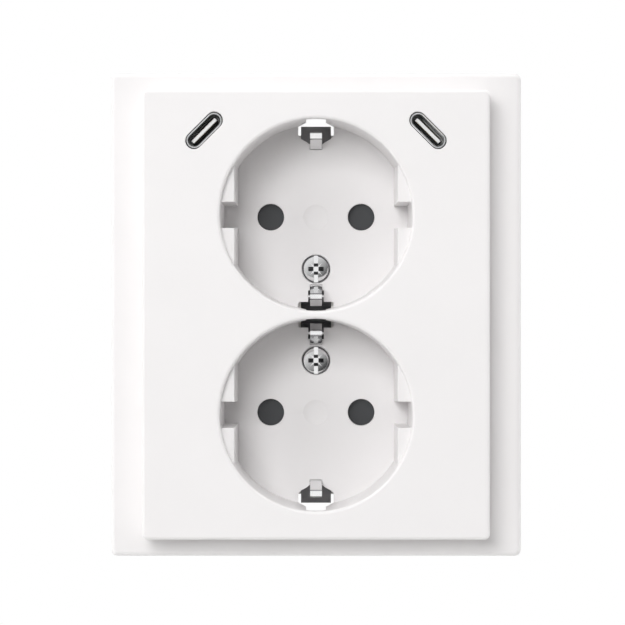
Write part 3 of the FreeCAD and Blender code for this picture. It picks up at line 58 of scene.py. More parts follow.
def add(tree, kind, settings=None, **links):
    """One shader node with its settings, and its named inputs joined to other nodes' outputs."""
    made = tree.nodes.new("ShaderNode" + kind)
    for name, value in (settings or {}).items():
        if name in made.inputs:
            made.inputs[name].default_value = value
        else:
            setattr(made, name, value)
    for name, output in links.items():
        tree.links.new(output, made.inputs[name.replace("_", " ")])
    return made


def new_material(name):
    """An empty material, its node tree and its output node."""
    made = bpy.data.materials.new(name)
    made.use_nodes = True
    made.node_tree.nodes.clear()
    return made, made.node_tree, made.node_tree.nodes.new("ShaderNodeOutputMaterial")


def seen_directly(tree):
    """1 for rays from the camera, and for rays that a mirror or glass sends on."""
    path = add(tree, "LightPath")
    both = add(tree, "Math", {"operation": "MAXIMUM"})
    tree.links.new(path.outputs["Is Camera Ray"], both.inputs[0])
    tree.links.new(path.outputs["Is Glossy Ray"], both.inputs[1])
    every = add(tree, "Math", {"operation": "MAXIMUM"})
    tree.links.new(both.outputs[0], every.inputs[0])
    tree.links.new(path.outputs["Is Transmission Ray"], every.inputs[1])
    return every.outputs[0]


def either(tree, rays, other, wanted):
    """One look for some rays, and another for the rest."""
    made = add(tree, "MixShader", Fac=rays)
    tree.links.new(other, made.inputs[1])
    tree.links.new(wanted, made.inputs[2])
    return made.outputs[0]


ROOM_DIM, ROOM_BRIGHT = 1.16, 1.24
CARD_DIM, CARD_BRIGHT = 0.08, 0.85
LIGHT_SIDE = Vector((-0.66, 0, 0.75))
world = bpy.data.worlds.new("studio_room")
scene.world = world
world.use_nodes = True
room = world.node_tree
room.nodes.clear()
outward = add(room, "TexCoord")
toward_light = add(room, "VectorMath", {"operation": "DOT_PRODUCT"})
room.links.new(outward.outputs["Generated"], toward_light.inputs[0])
toward_light.inputs[1].default_value = LIGHT_SIDE
strength = add(room, "MapRange", {"From Min": -1.0, "From Max": 1.0, "To Min": ROOM_DIM,
                                  "To Max": ROOM_BRIGHT}, Value=toward_light.outputs["Value"])
room_light = add(room, "Background", {"Color": (1, 1, 1, 1)}, Strength=strength.outputs["Result"])
plain_white = add(room, "Background", {"Color": (1, 1, 1, 1), "Strength": 1.0})
room.links.new(either(room, seen_directly(room), room_light.outputs[0], plain_white.outputs[0]),
               room.nodes.new("ShaderNodeOutputWorld").inputs["Surface"])

paper, tree, shown = new_material("backdrop_paper")
matte = add(tree, "BsdfDiffuse", {"Color": linear("E8E8E8"), "Roughness": 1.0})
plain_white = add(tree, "Emission", {"Color": (1, 1, 1, 1), "Strength": 1.0})
tree.links.new(either(tree, seen_directly(tree), matte.outputs[0], plain_white.outputs[0]),
               shown.inputs["Surface"])

floor_paint, tree, shown = new_material("pale_floor_paint")
painted = add(tree, "BsdfPrincipled", {"Base Color": linear("F7F7F6"), "Roughness": 0.8})
tree.links.new(painted.outputs[0], shown.inputs["Surface"])

# In mirrors the card shows a painted glow, brighter towards the lamp's side: a painted reflection of lit
# cloth.
card_cloth, tree, shown = new_material("grey_card_cloth")
cloth = add(tree, "BsdfDiffuse", {"Color": linear("585858"), "Roughness": 1.0})
plain_white = add(tree, "Emission", {"Color": (1, 1, 1, 1), "Strength": 1.0})
place = add(tree, "TexCoord")
toward_light = add(tree, "VectorMath", {"operation": "DOT_PRODUCT"})
tree.links.new(place.outputs["Object"], toward_light.inputs[0])
toward_light.inputs[1].default_value = LIGHT_SIDE
graded = add(tree, "MapRange", {"From Min": -1.0, "From Max": 1.0, "To Min": CARD_DIM, "To Max": CARD_BRIGHT},
             Value=toward_light.outputs["Value"])
mirrored = add(tree, "Emission", {"Color": (1, 1, 1, 1)}, Strength=graded.outputs["Result"])
path = add(tree, "LightPath")
card_look = either(tree, path.outputs["Is Glossy Ray"], cloth.outputs[0], mirrored.outputs[0])
tree.links.new(either(tree, path.outputs["Is Camera Ray"], card_look, plain_white.outputs[0]),
               shown.inputs["Surface"])

# Each sheet has its place, its turn and half its side, in metres
for name, cover, place, turn, half in (("backdrop", paper, (0, 1.5, 0), math.radians(90), 2.5),
                                       ("floor", floor_paint, (0, 0, -1.3), 0, 2.5),
                                       ("grey_card", card_cloth, (0.4, -1.9, -0.1), math.radians(90), 2.1),
                                       ("lens_paper", paper, (0, -1.85, 0), math.radians(90), 0.3)):
    sheet = bmesh.new()
    bmesh.ops.create_grid(sheet, x_segments=1, y_segments=1, size=half,
                          matrix=Matrix.Translation(place) @ Matrix.Rotation(turn, 4, "X"))
    mesh = bpy.data.meshes.new(name)
    sheet.to_mesh(mesh)
    sheet.free()
    mesh.materials.append(cover)
    stage_piece = bpy.data.objects.new(name, mesh)
    scene.collection.objects.link(stage_piece)

# Light: one soft square lamp in front, above and to the left of the camera. Polished metal doesn't
# mirror it, so the card and the paper give the metal its greys.
lamp = bpy.data.lights.new("soft_lamp", "AREA")
lamp.shape = "SQUARE"
lamp.size = 0.66
lamp.energy = 11.9
lamp_piece = bpy.data.objects.new("soft_lamp", lamp)
lamp_piece.location = (-0.35, -1.29, 0.45)
lamp_piece.rotation_euler = (-lamp_piece.location).to_track_quat("-Z", "Y").to_euler()
lamp_piece.visible_glossy = False
scene.collection.objects.link(lamp_piece)

# Camera: straight in front with a long lens, level with the middle of the part but for a hair.
# It stands 65 cm from the wall, as the photograph's perspective asks.
CAMERA_ACROSS, CAMERA_UP, CAMERA_LEVEL = -0.73, 0.47, 650.0
camera_data = bpy.data.cameras.new("camera")
camera_data.sensor_width = 36.0
camera_data.lens = 176.4
camera_data.clip_start = 0.01
camera_data.clip_end = 20.0
camera = bpy.data.objects.new("camera", camera_data)
camera.location = (CAMERA_ACROSS * MM, -CAMERA_LEVEL * MM, CAMERA_UP * MM)
camera.rotation_euler = (math.radians(90), 0, 0)
scene.collection.objects.link(camera)
scene.camera = camera


# Mounting plate: a square of zinc-plated sheet steel with cut corners and a large round hole.
# It is pressed out, so its edges are a little rounded, and screwed to the wall box through two slots.
def finish_surface(tree, shown, colour, rough, bump=None, metal=0.0, extra=None):
    """The one surface shader of a material, from plain values or node outputs."""
    shader = add(tree, "BsdfPrincipled", {"Metallic": metal, **(extra or {})})
    for name, value in (("Base Color", colour), ("Roughness", rough), ("Normal", bump)):
        if isinstance(value, bpy.types.NodeSocket):
            tree.links.new(value, shader.inputs[name])
        elif value is not None:
            shader.inputs[name].default_value = value
    tree.links.new(shader.outputs[0], shown.inputs["Surface"])


def spread(tree, source, low, high, start=0.3, end=0.7):
    """A ramp from one colour or value to another over part of a pattern's range."""
    ramp = add(tree, "ValToRGB", Fac=source)
    for stop, place, value in zip(ramp.color_ramp.elements, (start, end), (low, high)):
        stop.position = place
        stop.color = value if isinstance(value, tuple) else (value, value, value, 1)
    return ramp.outputs["Color"]


def metal_sheet(name, light, dark, rough_low, rough_high, grain, stretch=(1, 1, 1), depth=0.004):
    """Rolled or drawn metal: fine lines along the rolling direction, and cloudy tarnish over it."""
    made, tree, shown = new_material(name)
    place = add(tree, "TexCoord")
    lined = add(tree, "Mapping", {"Scale": stretch}, Vector=place.outputs["Object"])
    lines = add(tree, "TexNoise", {"Scale": 1 / (grain * MM), "Detail": 3.0}, Vector=lined.outputs[0])
    cloud = add(tree, "TexNoise", {"Scale": 1 / (9 * MM), "Detail": 2.0}, Vector=place.outputs["Object"])
    colour = spread(tree, cloud.outputs["Fac"], linear(dark), linear(light))
    rough = spread(tree, lines.outputs["Fac"], rough_low, rough_high)
    relief = add(tree, "Bump", {"Strength": 0.5, "Distance": depth * MM}, Height=lines.outputs["Fac"])
    finish_surface(tree, shown, colour, rough, relief.outputs[0], metal=1.0)
    return made


def finish_mesh(mesh, sharp):
    """Shades a mesh smooth up to an angle in degrees."""
    mesh.shade_smooth()
    mesh.set_sharp_from_angle(angle=math.radians(sharp))


def place_piece(name, mesh, material, body, replaced, ease=0.0, sharp=32):
    """A finished mesh as a piece of the object, which rides on its body and stands for a CAD node."""
    mesh.name = name
    mesh.materials.clear()
    mesh.materials.append(material)
    finish_mesh(mesh, sharp)
    made = bpy.data.objects.new(name, mesh)
    scene.collection.objects.link(made)
    if ease:
        rounding = made.modifiers.new("eased_edges", "BEVEL")
        rounding.width = ease * MM
        rounding.segments = 2
        rounding.limit_method = "ANGLE"
        rounding.angle_limit = math.radians(sharp)
        rounding.harden_normals = True
    weighted = made.modifiers.new("flat_faces_first", "WEIGHTED_NORMAL")
    weighted.keep_sharp = True
    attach(made, body)
    if replaced:
        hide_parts(*replaced)
    return made


def dress(node, name, material, body, ease=0.12, sharp=32):
    """A CAD node's own form with its facets merged, its edges eased and its round faces smooth."""
    form = bmesh.new()
    form.from_mesh(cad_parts[node].data)
    bmesh.ops.remove_doubles(form, verts=form.verts, dist=0.002 * MM)
    bmesh.ops.dissolve_limit(form, angle_limit=math.radians(0.5), verts=form.verts, edges=form.edges)
    mesh = bpy.data.meshes.new(name)
    form.to_mesh(mesh)
    form.free()
    return place_piece(name, mesh, material, body, [node], ease, sharp)


zinc_sheet = metal_sheet("zinc_plated_sheet", "C3C6C8", "A9ADB0", 0.32, 0.46, 0.35, stretch=(0.08, 1, 1))
dress("mounting_plate", "mounting_plate_sheet", zinc_sheet, "socket", ease=0.2)


# Base: a pale urea moulding behind the well floors. It holds the strap, the shutters and the screws,
# and its cups reach back into the wall box. Moulded matte, so the light only brushes it.
def moulded_plastic(name, light, dark, rough_low, rough_high, grain=0.25, depth=0.004, extra=None):
    """Injection-moulded plastic: fine tool texture, and a faint change of tone across the part."""
    made, tree, shown = new_material(name)
    place = add(tree, "TexCoord")
    texture = add(tree, "TexNoise", {"Scale": 1 / (grain * MM), "Detail": 2.0},
                  Vector=place.outputs["Object"])
    tone = add(tree, "TexNoise", {"Scale": 1 / (22 * MM), "Detail": 2.0}, Vector=place.outputs["Object"])
    colour = spread(tree, tone.outputs["Fac"], linear(dark), linear(light))
    rough = spread(tree, tone.outputs["Fac"], rough_low, rough_high)
    relief = add(tree, "Bump", {"Strength": 0.35, "Distance": depth * MM}, Height=texture.outputs["Fac"])
    finish_surface(tree, shown, colour, rough, relief.outputs[0], extra=extra)
    return made


base_urea = moulded_plastic("pale_urea_moulding", "EDECE8", "E6E4DF", 0.48, 0.58, grain=0.4)
dress("insert_base", "insert_base_moulding", base_urea, "socket", ease=0.15)

# Rear housing: the closed cup behind the base that holds the terminals and the charger.
# Grey-white moulding with a beveled rear edge, held by two screws from behind.
housing_plastic = moulded_plastic("housing_polycarbonate", "DEDDD9", "D5D3CE", 0.42, 0.52, grain=0.5)
dress("rear_housing", "rear_housing_moulding", housing_plastic, "socket", ease=0.2)
screw_zinc = metal_sheet("zinc_plated_screw", "C9CBCC", "B1B4B6", 0.22, 0.34, 0.15)
dress("housing_screws", "housing_screws_turned", screw_zinc, "socket", ease=0.1)

# Line and neutral contacts: stamped strip with two pairs of spring leaves, one for each well.
# Nickel-plated copper alloy, a little warmer than steel.
contact_nickel = metal_sheet("nickel_plated_strip", "CFCBC2", "B5B0A5", 0.25, 0.38, 0.2,
                             stretch=(1, 1, 0.1))
for node in ("live_contact", "neutral_contact"):
    dress(node, node + "_strip", contact_nickel, "socket", ease=0.06)
bright_brass = metal_sheet("stamped_brass", "D9B566", "B9913F", 0.28, 0.42, 0.25)
dress("earth_bar", "earth_bar_stamped", bright_brass, "socket", ease=0.08)

# Clamp springs: rolled spring steel leaves that bite the wires, one at each terminal.
# The release buttons beside them are coloured mouldings with a screwdriver notch.
spring_strip = metal_sheet("spring_steel_strip", "B4B7BA", "8F9296", 0.2, 0.34, 0.12, stretch=(1, 0.1, 1))
button_plastic = moulded_plastic("button_polyamide", "E8791F", "DC6D17", 0.34, 0.44, grain=0.2)
for terminal in ("live", "neutral", "earth"):
    dress("clamp_spring_" + terminal, "clamp_spring_" + terminal + "_leaf", spring_strip, "socket",
          ease=0.05)
    dress("release_button_" + terminal, "release_button_" + terminal + "_cap", button_plastic,
          "release_button_" + terminal, ease=0.1)

# Charger: a round board behind the contacts with a small transformer, capacitors, rectifier and fuse.
# Glass-fibre board under green lacquer, with the parts soldered on its back.
lacquer, tree, shown = new_material("lacquered_glass_board")
place = add(tree, "TexCoord")
weave = add(tree, "TexChecker", {"Scale": 1 / (0.5 * MM)}, Vector=place.outputs["Object"])
track_noise = add(tree, "TexVoronoi", {"Scale": 1 / (2.6 * MM), "distance": "MANHATTAN",
                                       "feature": "F1"}, Vector=place.outputs["Object"])
tracks = spread(tree, track_noise.outputs["Distance"], linear("1F6B41"), linear("14502F"), 0.35, 0.4)
board_relief = add(tree, "Bump", {"Strength": 0.3, "Distance": 0.03 * MM},
                   Height=track_noise.outputs["Distance"])
board_rough = spread(tree, weave.outputs["Fac"], 0.26, 0.34)
finish_surface(tree, shown, tracks, board_rough, board_relief.outputs[0])
for node in ("charger_board", "usb_board_left", "usb_board_right"):
    dress(node, node + "_laminate", lacquer, "socket", ease=0.04)
fired_ferrite = moulded_plastic("fired_ferrite", "3A3A3C", "2C2C2E", 0.62, 0.78, grain=0.3, depth=0.02)
dress("transformer_core", "transformer_core_ferrite", fired_ferrite, "socket", ease=0.15)
yellow_tape = moulded_plastic("polyester_tape", "DDBA3E", "CFAA30", 0.2, 0.3, grain=1.2, depth=0.03)
dress("transformer_winding", "transformer_winding_taped", yellow_tape, "socket", ease=0.1)
blue_sleeve = moulded_plastic("shrunk_sleeve", "24345F", "1B294E", 0.22, 0.32, grain=1.5, depth=0.01)
for node in ("input_capacitor", "output_capacitor"):
    dress(node, node + "_can", blue_sleeve, "socket", ease=0.35)
chip_epoxy = moulded_plastic("epoxy_chip_body", "232324", "1A1A1B", 0.5, 0.62, grain=0.12, depth=0.008)
for node in ("bridge_rectifier", "converter_chip"):
    dress(node, node + "_body", chip_epoxy, "socket", ease=0.12)
fuse_tube = moulded_plastic("fuse_sleeve_polymer", "CBC19D", "BFB48F", 0.3, 0.4, grain=0.5)
dress("fuse", "fuse_tube", fuse_tube, "socket", ease=0.12)

# Leads and small boards of the USB ports: flat black ribbons lead from the charger to two boards,
# which are screwed to posts behind the plate's upper corners.
ribbon_sleeve = moulded_plastic("ribbon_sleeve_rubber", "262627", "1C1C1D", 0.5, 0.62, grain=0.3)
for side in ("left", "right"):
    dress("usb_lead_" + side, "usb_lead_" + side + "_ribbon", ribbon_sleeve, "socket",
          ease=0.06)
dress("usb_board_screws", "usb_board_screws_turned", screw_zinc, "socket", ease=0.05)

# Shutters: two dark turning pieces between the base and the well floors, each with a pad behind both
# pin holes. A plug's two pins turn them out of the way, and a spring turns them back.
shutter_nylon = moulded_plastic("dark_polyamide", "48494B", "3C3D3F", 0.42, 0.52, grain=0.2)
for well in ("upper", "lower"):
    dress("shutter_" + well, "shutter_" + well + "_moulding", shutter_nylon, "shutter_" + well,
          ease=0.12)
    dress("shutter_spring_" + well, "shutter_spring_" + well + "_coil", spring_strip, "socket",
          ease=0.05)

# Rivets: two round heads that hold the earth strap, the base and the mounting plate together.
# Plated steel, closed from behind.
dress("earth_rivets", "earth_rivets_headed", screw_zinc, "socket", ease=0.15)


# Centre plate: the one glossy white moulding with both wells, all their holes and the USB openings.
# Thermoplastic from a polished tool, so edges are softly rounded and the surface is almost flawless.
def shape_mesh(form):
    """The form as a mesh in metres. The form is in millimetres and is freed."""
    bmesh.ops.scale(form, vec=(MM, MM, MM), verts=form.verts)
    mesh = bpy.data.meshes.new("form")
    form.to_mesh(mesh)
    form.free()
    return mesh


def box_form(left, right, back, front, low, high):
    """A block between two sides, two levels and two heights."""
    form = bmesh.new()
    middle = Vector(((left + right) / 2, -(back + front) / 2, (low + high) / 2))
    size = Matrix.Diagonal((right - left, front - back, high - low, 1))
    bmesh.ops.create_cube(form, size=1, matrix=Matrix.Translation(middle) @ size)
    return form


def settle(form, across, up, turn):
    """Turns a form clockwise, as seen from the front, and moves it to its place."""
    matrix = Matrix.Translation((across, 0, up)) @ Matrix.Rotation(math.radians(turn), 4, "Y")
    bmesh.ops.transform(form, matrix=matrix, verts=form.verts)


def pushed_form(corners, way):
    """A straight block: the face with these corners, pushed one way."""
    form = bmesh.new()
    face = form.faces.new([form.verts.new(corner) for corner in corners])
    pushed = bmesh.ops.extrude_face_region(form, geom=[face])["geom"]
    ends = [part for part in pushed if isinstance(part, bmesh.types.BMVert)]
    bmesh.ops.translate(form, verts=ends, vec=way)
    bmesh.ops.recalc_face_normals(form, faces=form.faces)
    return form


def drawn_form(outline, back, front, across=0.0, up=0.0, turn=0.0):
    """A straight block between two levels, whose outline is drawn in front view and then settled."""
    form = pushed_form([(x, -front, z) for x, z in outline], (0, front - back, 0))
    settle(form, across, up, turn)
    return form


def standing_form(outline, low, high):
    """A straight block between two heights, whose outline is drawn in plan as across and level."""
    return pushed_form([(x, -level, low) for x, level in outline], (0, 0, high - low))


def turned_form(profile, across, up, steps=96):
    """A turned block: its profile, as radius and level from the axis to the axis, goes once round."""
    form = bmesh.new()
    points = [form.verts.new((across + radius, -level, up)) for radius, level in profile]
    lines = [form.edges.new(pair) for pair in zip(points, points[1:])]
    bmesh.ops.spin(form, geom=points + lines, cent=(across, 0, up), axis=(0, 1, 0), angle=math.tau,
                   steps=steps, use_merge=True)
    bmesh.ops.remove_doubles(form, verts=form.verts, dist=0.0005)
    bmesh.ops.recalc_face_normals(form, faces=form.faces)
    return form


def arc(across, up, radius, first, last, steps=6):
    """Points on an arc, with its angles in degrees."""
    angles = [math.radians(first + (last - first) * step / steps) for step in range(steps + 1)]
    return [(across + radius * math.cos(angle), up + radius * math.sin(angle)) for angle in angles]


def join_forms(form, tool, operation):
    """The form with the tool cut away or added. The tool is freed."""
    pair = []
    for part in (form, tool):
        mesh = bpy.data.meshes.new("joined")
        part.to_mesh(mesh)
        piece = bpy.data.objects.new("joined", mesh)
        scene.collection.objects.link(piece)
        pair.append(piece)
    tool.free()
    joint = pair[0].modifiers.new("joined", "BOOLEAN")
    joint.operation = operation
    joint.solver = "EXACT"
    joint.object = pair[1]
    bpy.context.view_layer.update()
    ready = pair[0].evaluated_get(bpy.context.evaluated_depsgraph_get())
    result = bpy.data.meshes.new_from_object(ready)
    form.clear()
    form.from_mesh(result)
    bpy.data.meshes.remove(result)
    for piece in pair:
        mesh = piece.data
        bpy.data.objects.remove(piece)
        bpy.data.meshes.remove(mesh)
    return form


def cut(form, tool):
    """The form less the tool."""
    return join_forms(form, tool, "DIFFERENCE")


def fuse(form, tool):
    """The form and the tool in one."""
    return join_forms(form, tool, "UNION")


def round_edges(form, radius, wanted, segments=5):
    """Rounds the edges that the test picks from their two ends."""
    picked = [edge for edge in form.edges if wanted(edge.verts[0].co, edge.verts[1].co)]
    bmesh.ops.bevel(form, geom=picked, offset=radius, offset_type="OFFSET", affect="EDGES",
                    segments=segments, profile=0.5, material=-1, clamp_overlap=True)


def runs_back(one, other):
    """True for an edge that runs straight back from the front."""
    return abs(one.x - other.x) + abs(one.z - other.z) < 1e-4


def at_level(level):
    """A test for edges that lie at one level in front of the wall."""
    return lambda one, other: abs(one.y + level) < 1e-4 and abs(other.y + level) < 1e-4


PLATE_WIDTH, PLATE_HEIGHT, PLATE_WALL = 71.1, 92.0, 1.6
PLATE_FRONT, PLATE_BACK = 24.0, 1.5
PLATE_CORNER, PLATE_EDGE = 1.05, 0.7
WELL_UP, WELL_DEPTH = 20.5, 17.5
MOUTH_RADIUS, FLOOR_RADIUS, WELL_WALL = 19.7, 19.3, 1.2
FLOOR_FRONT = PLATE_FRONT - WELL_DEPTH
FLOOR_BACK = 5.0
RIM_ROUND = 0.7
RIB = 1.2
LEDGE_REACH, LEDGE_DROP, LEDGE_GAP, LEDGE_DRAFT, LEDGE_ROUND = 16.75, 1.75, 5.4, 1.4, 0.25
PIN_ACROSS, PIN_HOLE, HOLE_LIP = 9.5, 2.8, 0.12
SCREW_DROP, SCREW_HEAD, SCREW_HOLE, SEAT_DEPTH, SEAT_RADIUS = 10.9, 2.84, 1.65, 0.9, 3.02
DIMPLE_RADIUS, DIMPLE_DEPTH = 2.7, 0.3
EARTH_SLOT_DROP, EARTH_SLOT_FLARE, EARTH_SLOT_WIDTH = 2.3, 7.3, 4.1
EARTH_WIDTH, EARTH_INNER_END, EARTH_OUTER_END = 7.5, 19.75, 21.05
OUTER_HOLE = [(1.3, 14.15), (1.3, 15.25), (1.9, 15.75), (3.1, 16.4), (3.6, 16.9), (3.75, 17.4)]
INNER_HOLE = [(1.3, 14.15), (1.3, 15.4), (1.65, 15.4), (1.65, 17.8), (3.45, 17.8), (3.75, 18.1)]
PORT_ACROSS, PORT_UP, PORT_TURN = 22.9, 37.7, 45.0
PORT_LENGTH, PORT_WIDTH, PORT_LIP = 9.34, 3.48, 0.18
GUIDE_WALL, GUIDE_DEPTH = 1.0, 4.0
POST_PLACE, POST_RADIUS, POST_BACK, PILOT_RADIUS, PILOT_DEPTH = 6.2, 1.5, 16.3, 0.75, 4.0
WELL_STEPS, SCREW_STEPS, PIN_STEPS, POST_STEPS = 128, 96, 64, 32
CLEAR = 1.0


def round_outline(across, radius, steps=24):
    """A round outline beside the middle."""
    return arc(across, 0, radius, 0, 360 - 360 / steps, steps - 1)


def stadium_outline(length, width, steps=12):
    """A straight-sided outline with half-round ends."""
    half, radius = (length - width) / 2, width / 2
    return arc(half, 0, radius, -90, 90, steps) + arc(-half, 0, radius, 90, 270, steps)


plate = box_form(-PLATE_WIDTH / 2, PLATE_WIDTH / 2, PLATE_BACK, PLATE_FRONT, -PLATE_HEIGHT / 2,
                 PLATE_HEIGHT / 2)
round_edges(plate, PLATE_CORNER, runs_back, segments=8)
round_edges(plate, PLATE_EDGE, at_level(PLATE_FRONT), segments=6)
inside_width, inside_height = PLATE_WIDTH / 2 - PLATE_WALL, PLATE_HEIGHT / 2 - PLATE_WALL
cut(plate, box_form(-inside_width, inside_width, PLATE_BACK - CLEAR, PLATE_FRONT - PLATE_WALL,
                    -inside_height, inside_height))
root = PLATE_FRONT - PLATE_WALL / 2
for side in (1, -1):
    well = turned_form([(0, FLOOR_BACK), (MOUTH_RADIUS + WELL_WALL, FLOOR_BACK),
                        (MOUTH_RADIUS + WELL_WALL, root), (0, root)], 0, side * WELL_UP, WELL_STEPS)
    fuse(plate, well)
    for across in (1, -1):
        near, far = sorted((across * (FLOOR_RADIUS + WELL_WALL / 2),
                            across * (PLATE_WIDTH / 2 - PLATE_WALL / 2)))
        fuse(plate, box_form(near, far, FLOOR_BACK, root, side * WELL_UP - RIB / 2, side * WELL_UP + RIB / 2))
for side in (1, -1):
    port = dict(across=side * PORT_ACROSS, up=PORT_UP, turn=side * PORT_TURN)
    fuse(plate, drawn_form(stadium_outline(PORT_LENGTH + 2 * GUIDE_WALL, PORT_WIDTH + 2 * GUIDE_WALL),
                           PLATE_FRONT - PLATE_WALL - GUIDE_DEPTH, root, **port))
    for end in (1, -1):
        fuse(plate, drawn_form(round_outline(end * POST_PLACE, POST_RADIUS), POST_BACK, root, **port))
        cut(plate, drawn_form(round_outline(end * POST_PLACE, PILOT_RADIUS), POST_BACK - CLEAR,
                              POST_BACK + PILOT_DEPTH, **port))

# The wells: a shallow cone with a rounded rim, less the four ledges that guide a plug's flat sides
rim = [(MOUTH_RADIUS + RIM_ROUND * (1 - math.cos(math.radians(angle))),
        PLATE_FRONT - RIM_ROUND * (1 - math.sin(math.radians(angle)))) for angle in range(0, 91, 15)]
grow = math.tan(math.radians(LEDGE_DRAFT))
ledge_front = PLATE_FRONT - LEDGE_DROP
ledge_depth = ledge_front - FLOOR_FRONT + CLEAR


def along_guide(one, other):
    """True for a ledge's front edge that a plug's flat side passes."""
    return (at_level(ledge_front)(one, other) and abs(one.x - other.x) < 1e-4
            and abs(abs(one.x) - LEDGE_REACH) < 1e-4)


for side in (1, -1):
    middle = side * WELL_UP
    hollow = turned_form([(0, FLOOR_FRONT), (FLOOR_RADIUS, FLOOR_FRONT)] + rim
                         + [(MOUTH_RADIUS + RIM_ROUND, PLATE_FRONT + CLEAR), (0, PLATE_FRONT + CLEAR)],
                         0, middle, WELL_STEPS)
    for across in (1, -1):
        for end in (1, -1):
            low, high = sorted((middle + end * LEDGE_GAP / 2, middle + end * (MOUTH_RADIUS + CLEAR)))
            near, far = sorted((across * LEDGE_REACH, across * (MOUTH_RADIUS + 2 * CLEAR)))
            ledge = pushed_form([(near, -ledge_front, low), (far, -ledge_front, low),
                                 (far, -ledge_front, high), (near, -ledge_front, high)],
                                (0, ledge_depth, 0))
            for point in ledge.verts:
                if point.co.y > CLEAR - ledge_front:
                    if abs(abs(point.co.x) - LEDGE_REACH) < 1e-4:
                        point.co.x -= across * grow * ledge_depth
                    if abs(point.co.z - middle - end * LEDGE_GAP / 2) < 1e-4:
                        point.co.z -= end * grow * ledge_depth
            round_edges(ledge, LEDGE_ROUND, along_guide, segments=3)
            cut(hollow, ledge)
    cut(plate, hollow)

# Holes in each floor, with a small lip where the tool's pins met the face. The dimple is the mark of
# the gate, and the flared slots let the plug's earth clips pass
for side in (1, -1):
    middle = side * WELL_UP
    for across in (PIN_ACROSS, -PIN_ACROSS):
        cut(plate, turned_form([(0, FLOOR_BACK - CLEAR), (PIN_HOLE, FLOOR_BACK - CLEAR),
                                (PIN_HOLE, FLOOR_FRONT - HOLE_LIP), (PIN_HOLE + HOLE_LIP, FLOOR_FRONT),
                                (PIN_HOLE + HOLE_LIP, FLOOR_FRONT + HOLE_LIP),
                                (0, FLOOR_FRONT + HOLE_LIP)], across, middle, PIN_STEPS))
    cut(plate, turned_form([(0, FLOOR_BACK - CLEAR), (SCREW_HOLE, FLOOR_BACK - CLEAR),
                            (SCREW_HOLE, FLOOR_FRONT - SEAT_DEPTH), (SEAT_RADIUS, FLOOR_FRONT - SEAT_DEPTH),
                            (SEAT_RADIUS, FLOOR_FRONT + HOLE_LIP), (0, FLOOR_FRONT + HOLE_LIP)],
                           0, middle - side * SCREW_DROP, SCREW_STEPS))
    dish = [(DIMPLE_RADIUS * share, FLOOR_FRONT - DIMPLE_DEPTH * (1 - share ** 4))
            for share in (0, 0.4, 0.55, 0.67, 0.77, 0.86, 0.93, 1)]
    cut(plate, turned_form(dish + [(DIMPLE_RADIUS, FLOOR_FRONT + HOLE_LIP), (0, FLOOR_FRONT + HOLE_LIP)],
                           0, middle, SCREW_STEPS))
    for end, reach, half_hole in ((side, EARTH_OUTER_END, OUTER_HOLE), (-side, EARTH_INNER_END, INNER_HOLE)):
        hole = [(x, middle + end * z) for x, z in half_hole + [(EARTH_WIDTH / 2, reach)]]
        hole += [(-x, z) for x, z in reversed(hole)]
        cut(plate, drawn_form(hole, FLOOR_BACK - CLEAR, FLOOR_FRONT + HOLE_LIP))
        slot = [(EARTH_SLOT_WIDTH / 2, PLATE_FRONT - EARTH_SLOT_DROP),
                (EARTH_SLOT_WIDTH / 2, FLOOR_FRONT + EARTH_SLOT_FLARE),
                (EARTH_WIDTH / 2, FLOOR_FRONT), (EARTH_WIDTH / 2, FLOOR_FRONT - HOLE_LIP)]
        slot += [(-x, level) for x, level in reversed(slot)]
        low, high = sorted((middle + end * (FLOOR_RADIUS - CLEAR), middle + end * reach))
        cut(plate, standing_form(slot, low, high))

# The USB openings have a fine rounded lip on the face: the opening's end is pushed out in three steps,
# and widened at each
lip_angles = [math.radians(angle) for angle in (0, 30, 60, 90)]
straight = (PORT_LENGTH - PORT_WIDTH) / 2
for side in (1, -1):
    port = dict(across=side * PORT_ACROSS, up=PORT_UP, turn=side * PORT_TURN)
    opening = drawn_form(stadium_outline(PORT_LENGTH, PORT_WIDTH, 20),
                         PLATE_FRONT - PLATE_WALL - GUIDE_DEPTH - CLEAR, PLATE_FRONT - PORT_LIP)
    front_face = [face for face in opening.faces if face.normal.y < -0.9]
    steps = [(PORT_LIP * (math.sin(angle) - math.sin(before)),
              PORT_LIP * (math.cos(before) - math.cos(angle)))
             for before, angle in zip(lip_angles, lip_angles[1:])]
    for rise, widen in steps + [(CLEAR, 0)]:
        pushed = bmesh.ops.extrude_face_region(opening, geom=front_face)["geom"]
        bmesh.ops.delete(opening, geom=front_face, context="FACES_ONLY")
        front_face = [part for part in pushed if isinstance(part, bmesh.types.BMFace)]
        lifted = [part for part in pushed if isinstance(part, bmesh.types.BMVert)]
        bmesh.ops.translate(opening, verts=lifted, vec=(0, -rise, 0))
        for point in lifted:
            past = max(abs(point.co.x) - straight, 0)
            outward = Vector((math.copysign(past, point.co.x), 0, point.co.z))
            point.co += outward.normalized() * widen
    bmesh.ops.recalc_face_normals(opening, faces=opening.faces)
    settle(opening, **port)
    cut(plate, opening)

white_plastic = moulded_plastic("gloss_white_moulding", "ECEAEA", "EAE8E8", 0.3, 0.36, grain=0.5,
                                depth=0.002)
place_piece("centre_plate_moulding", shape_mesh(plate), white_plastic, "socket",
            ["centre_plate"], sharp=28)

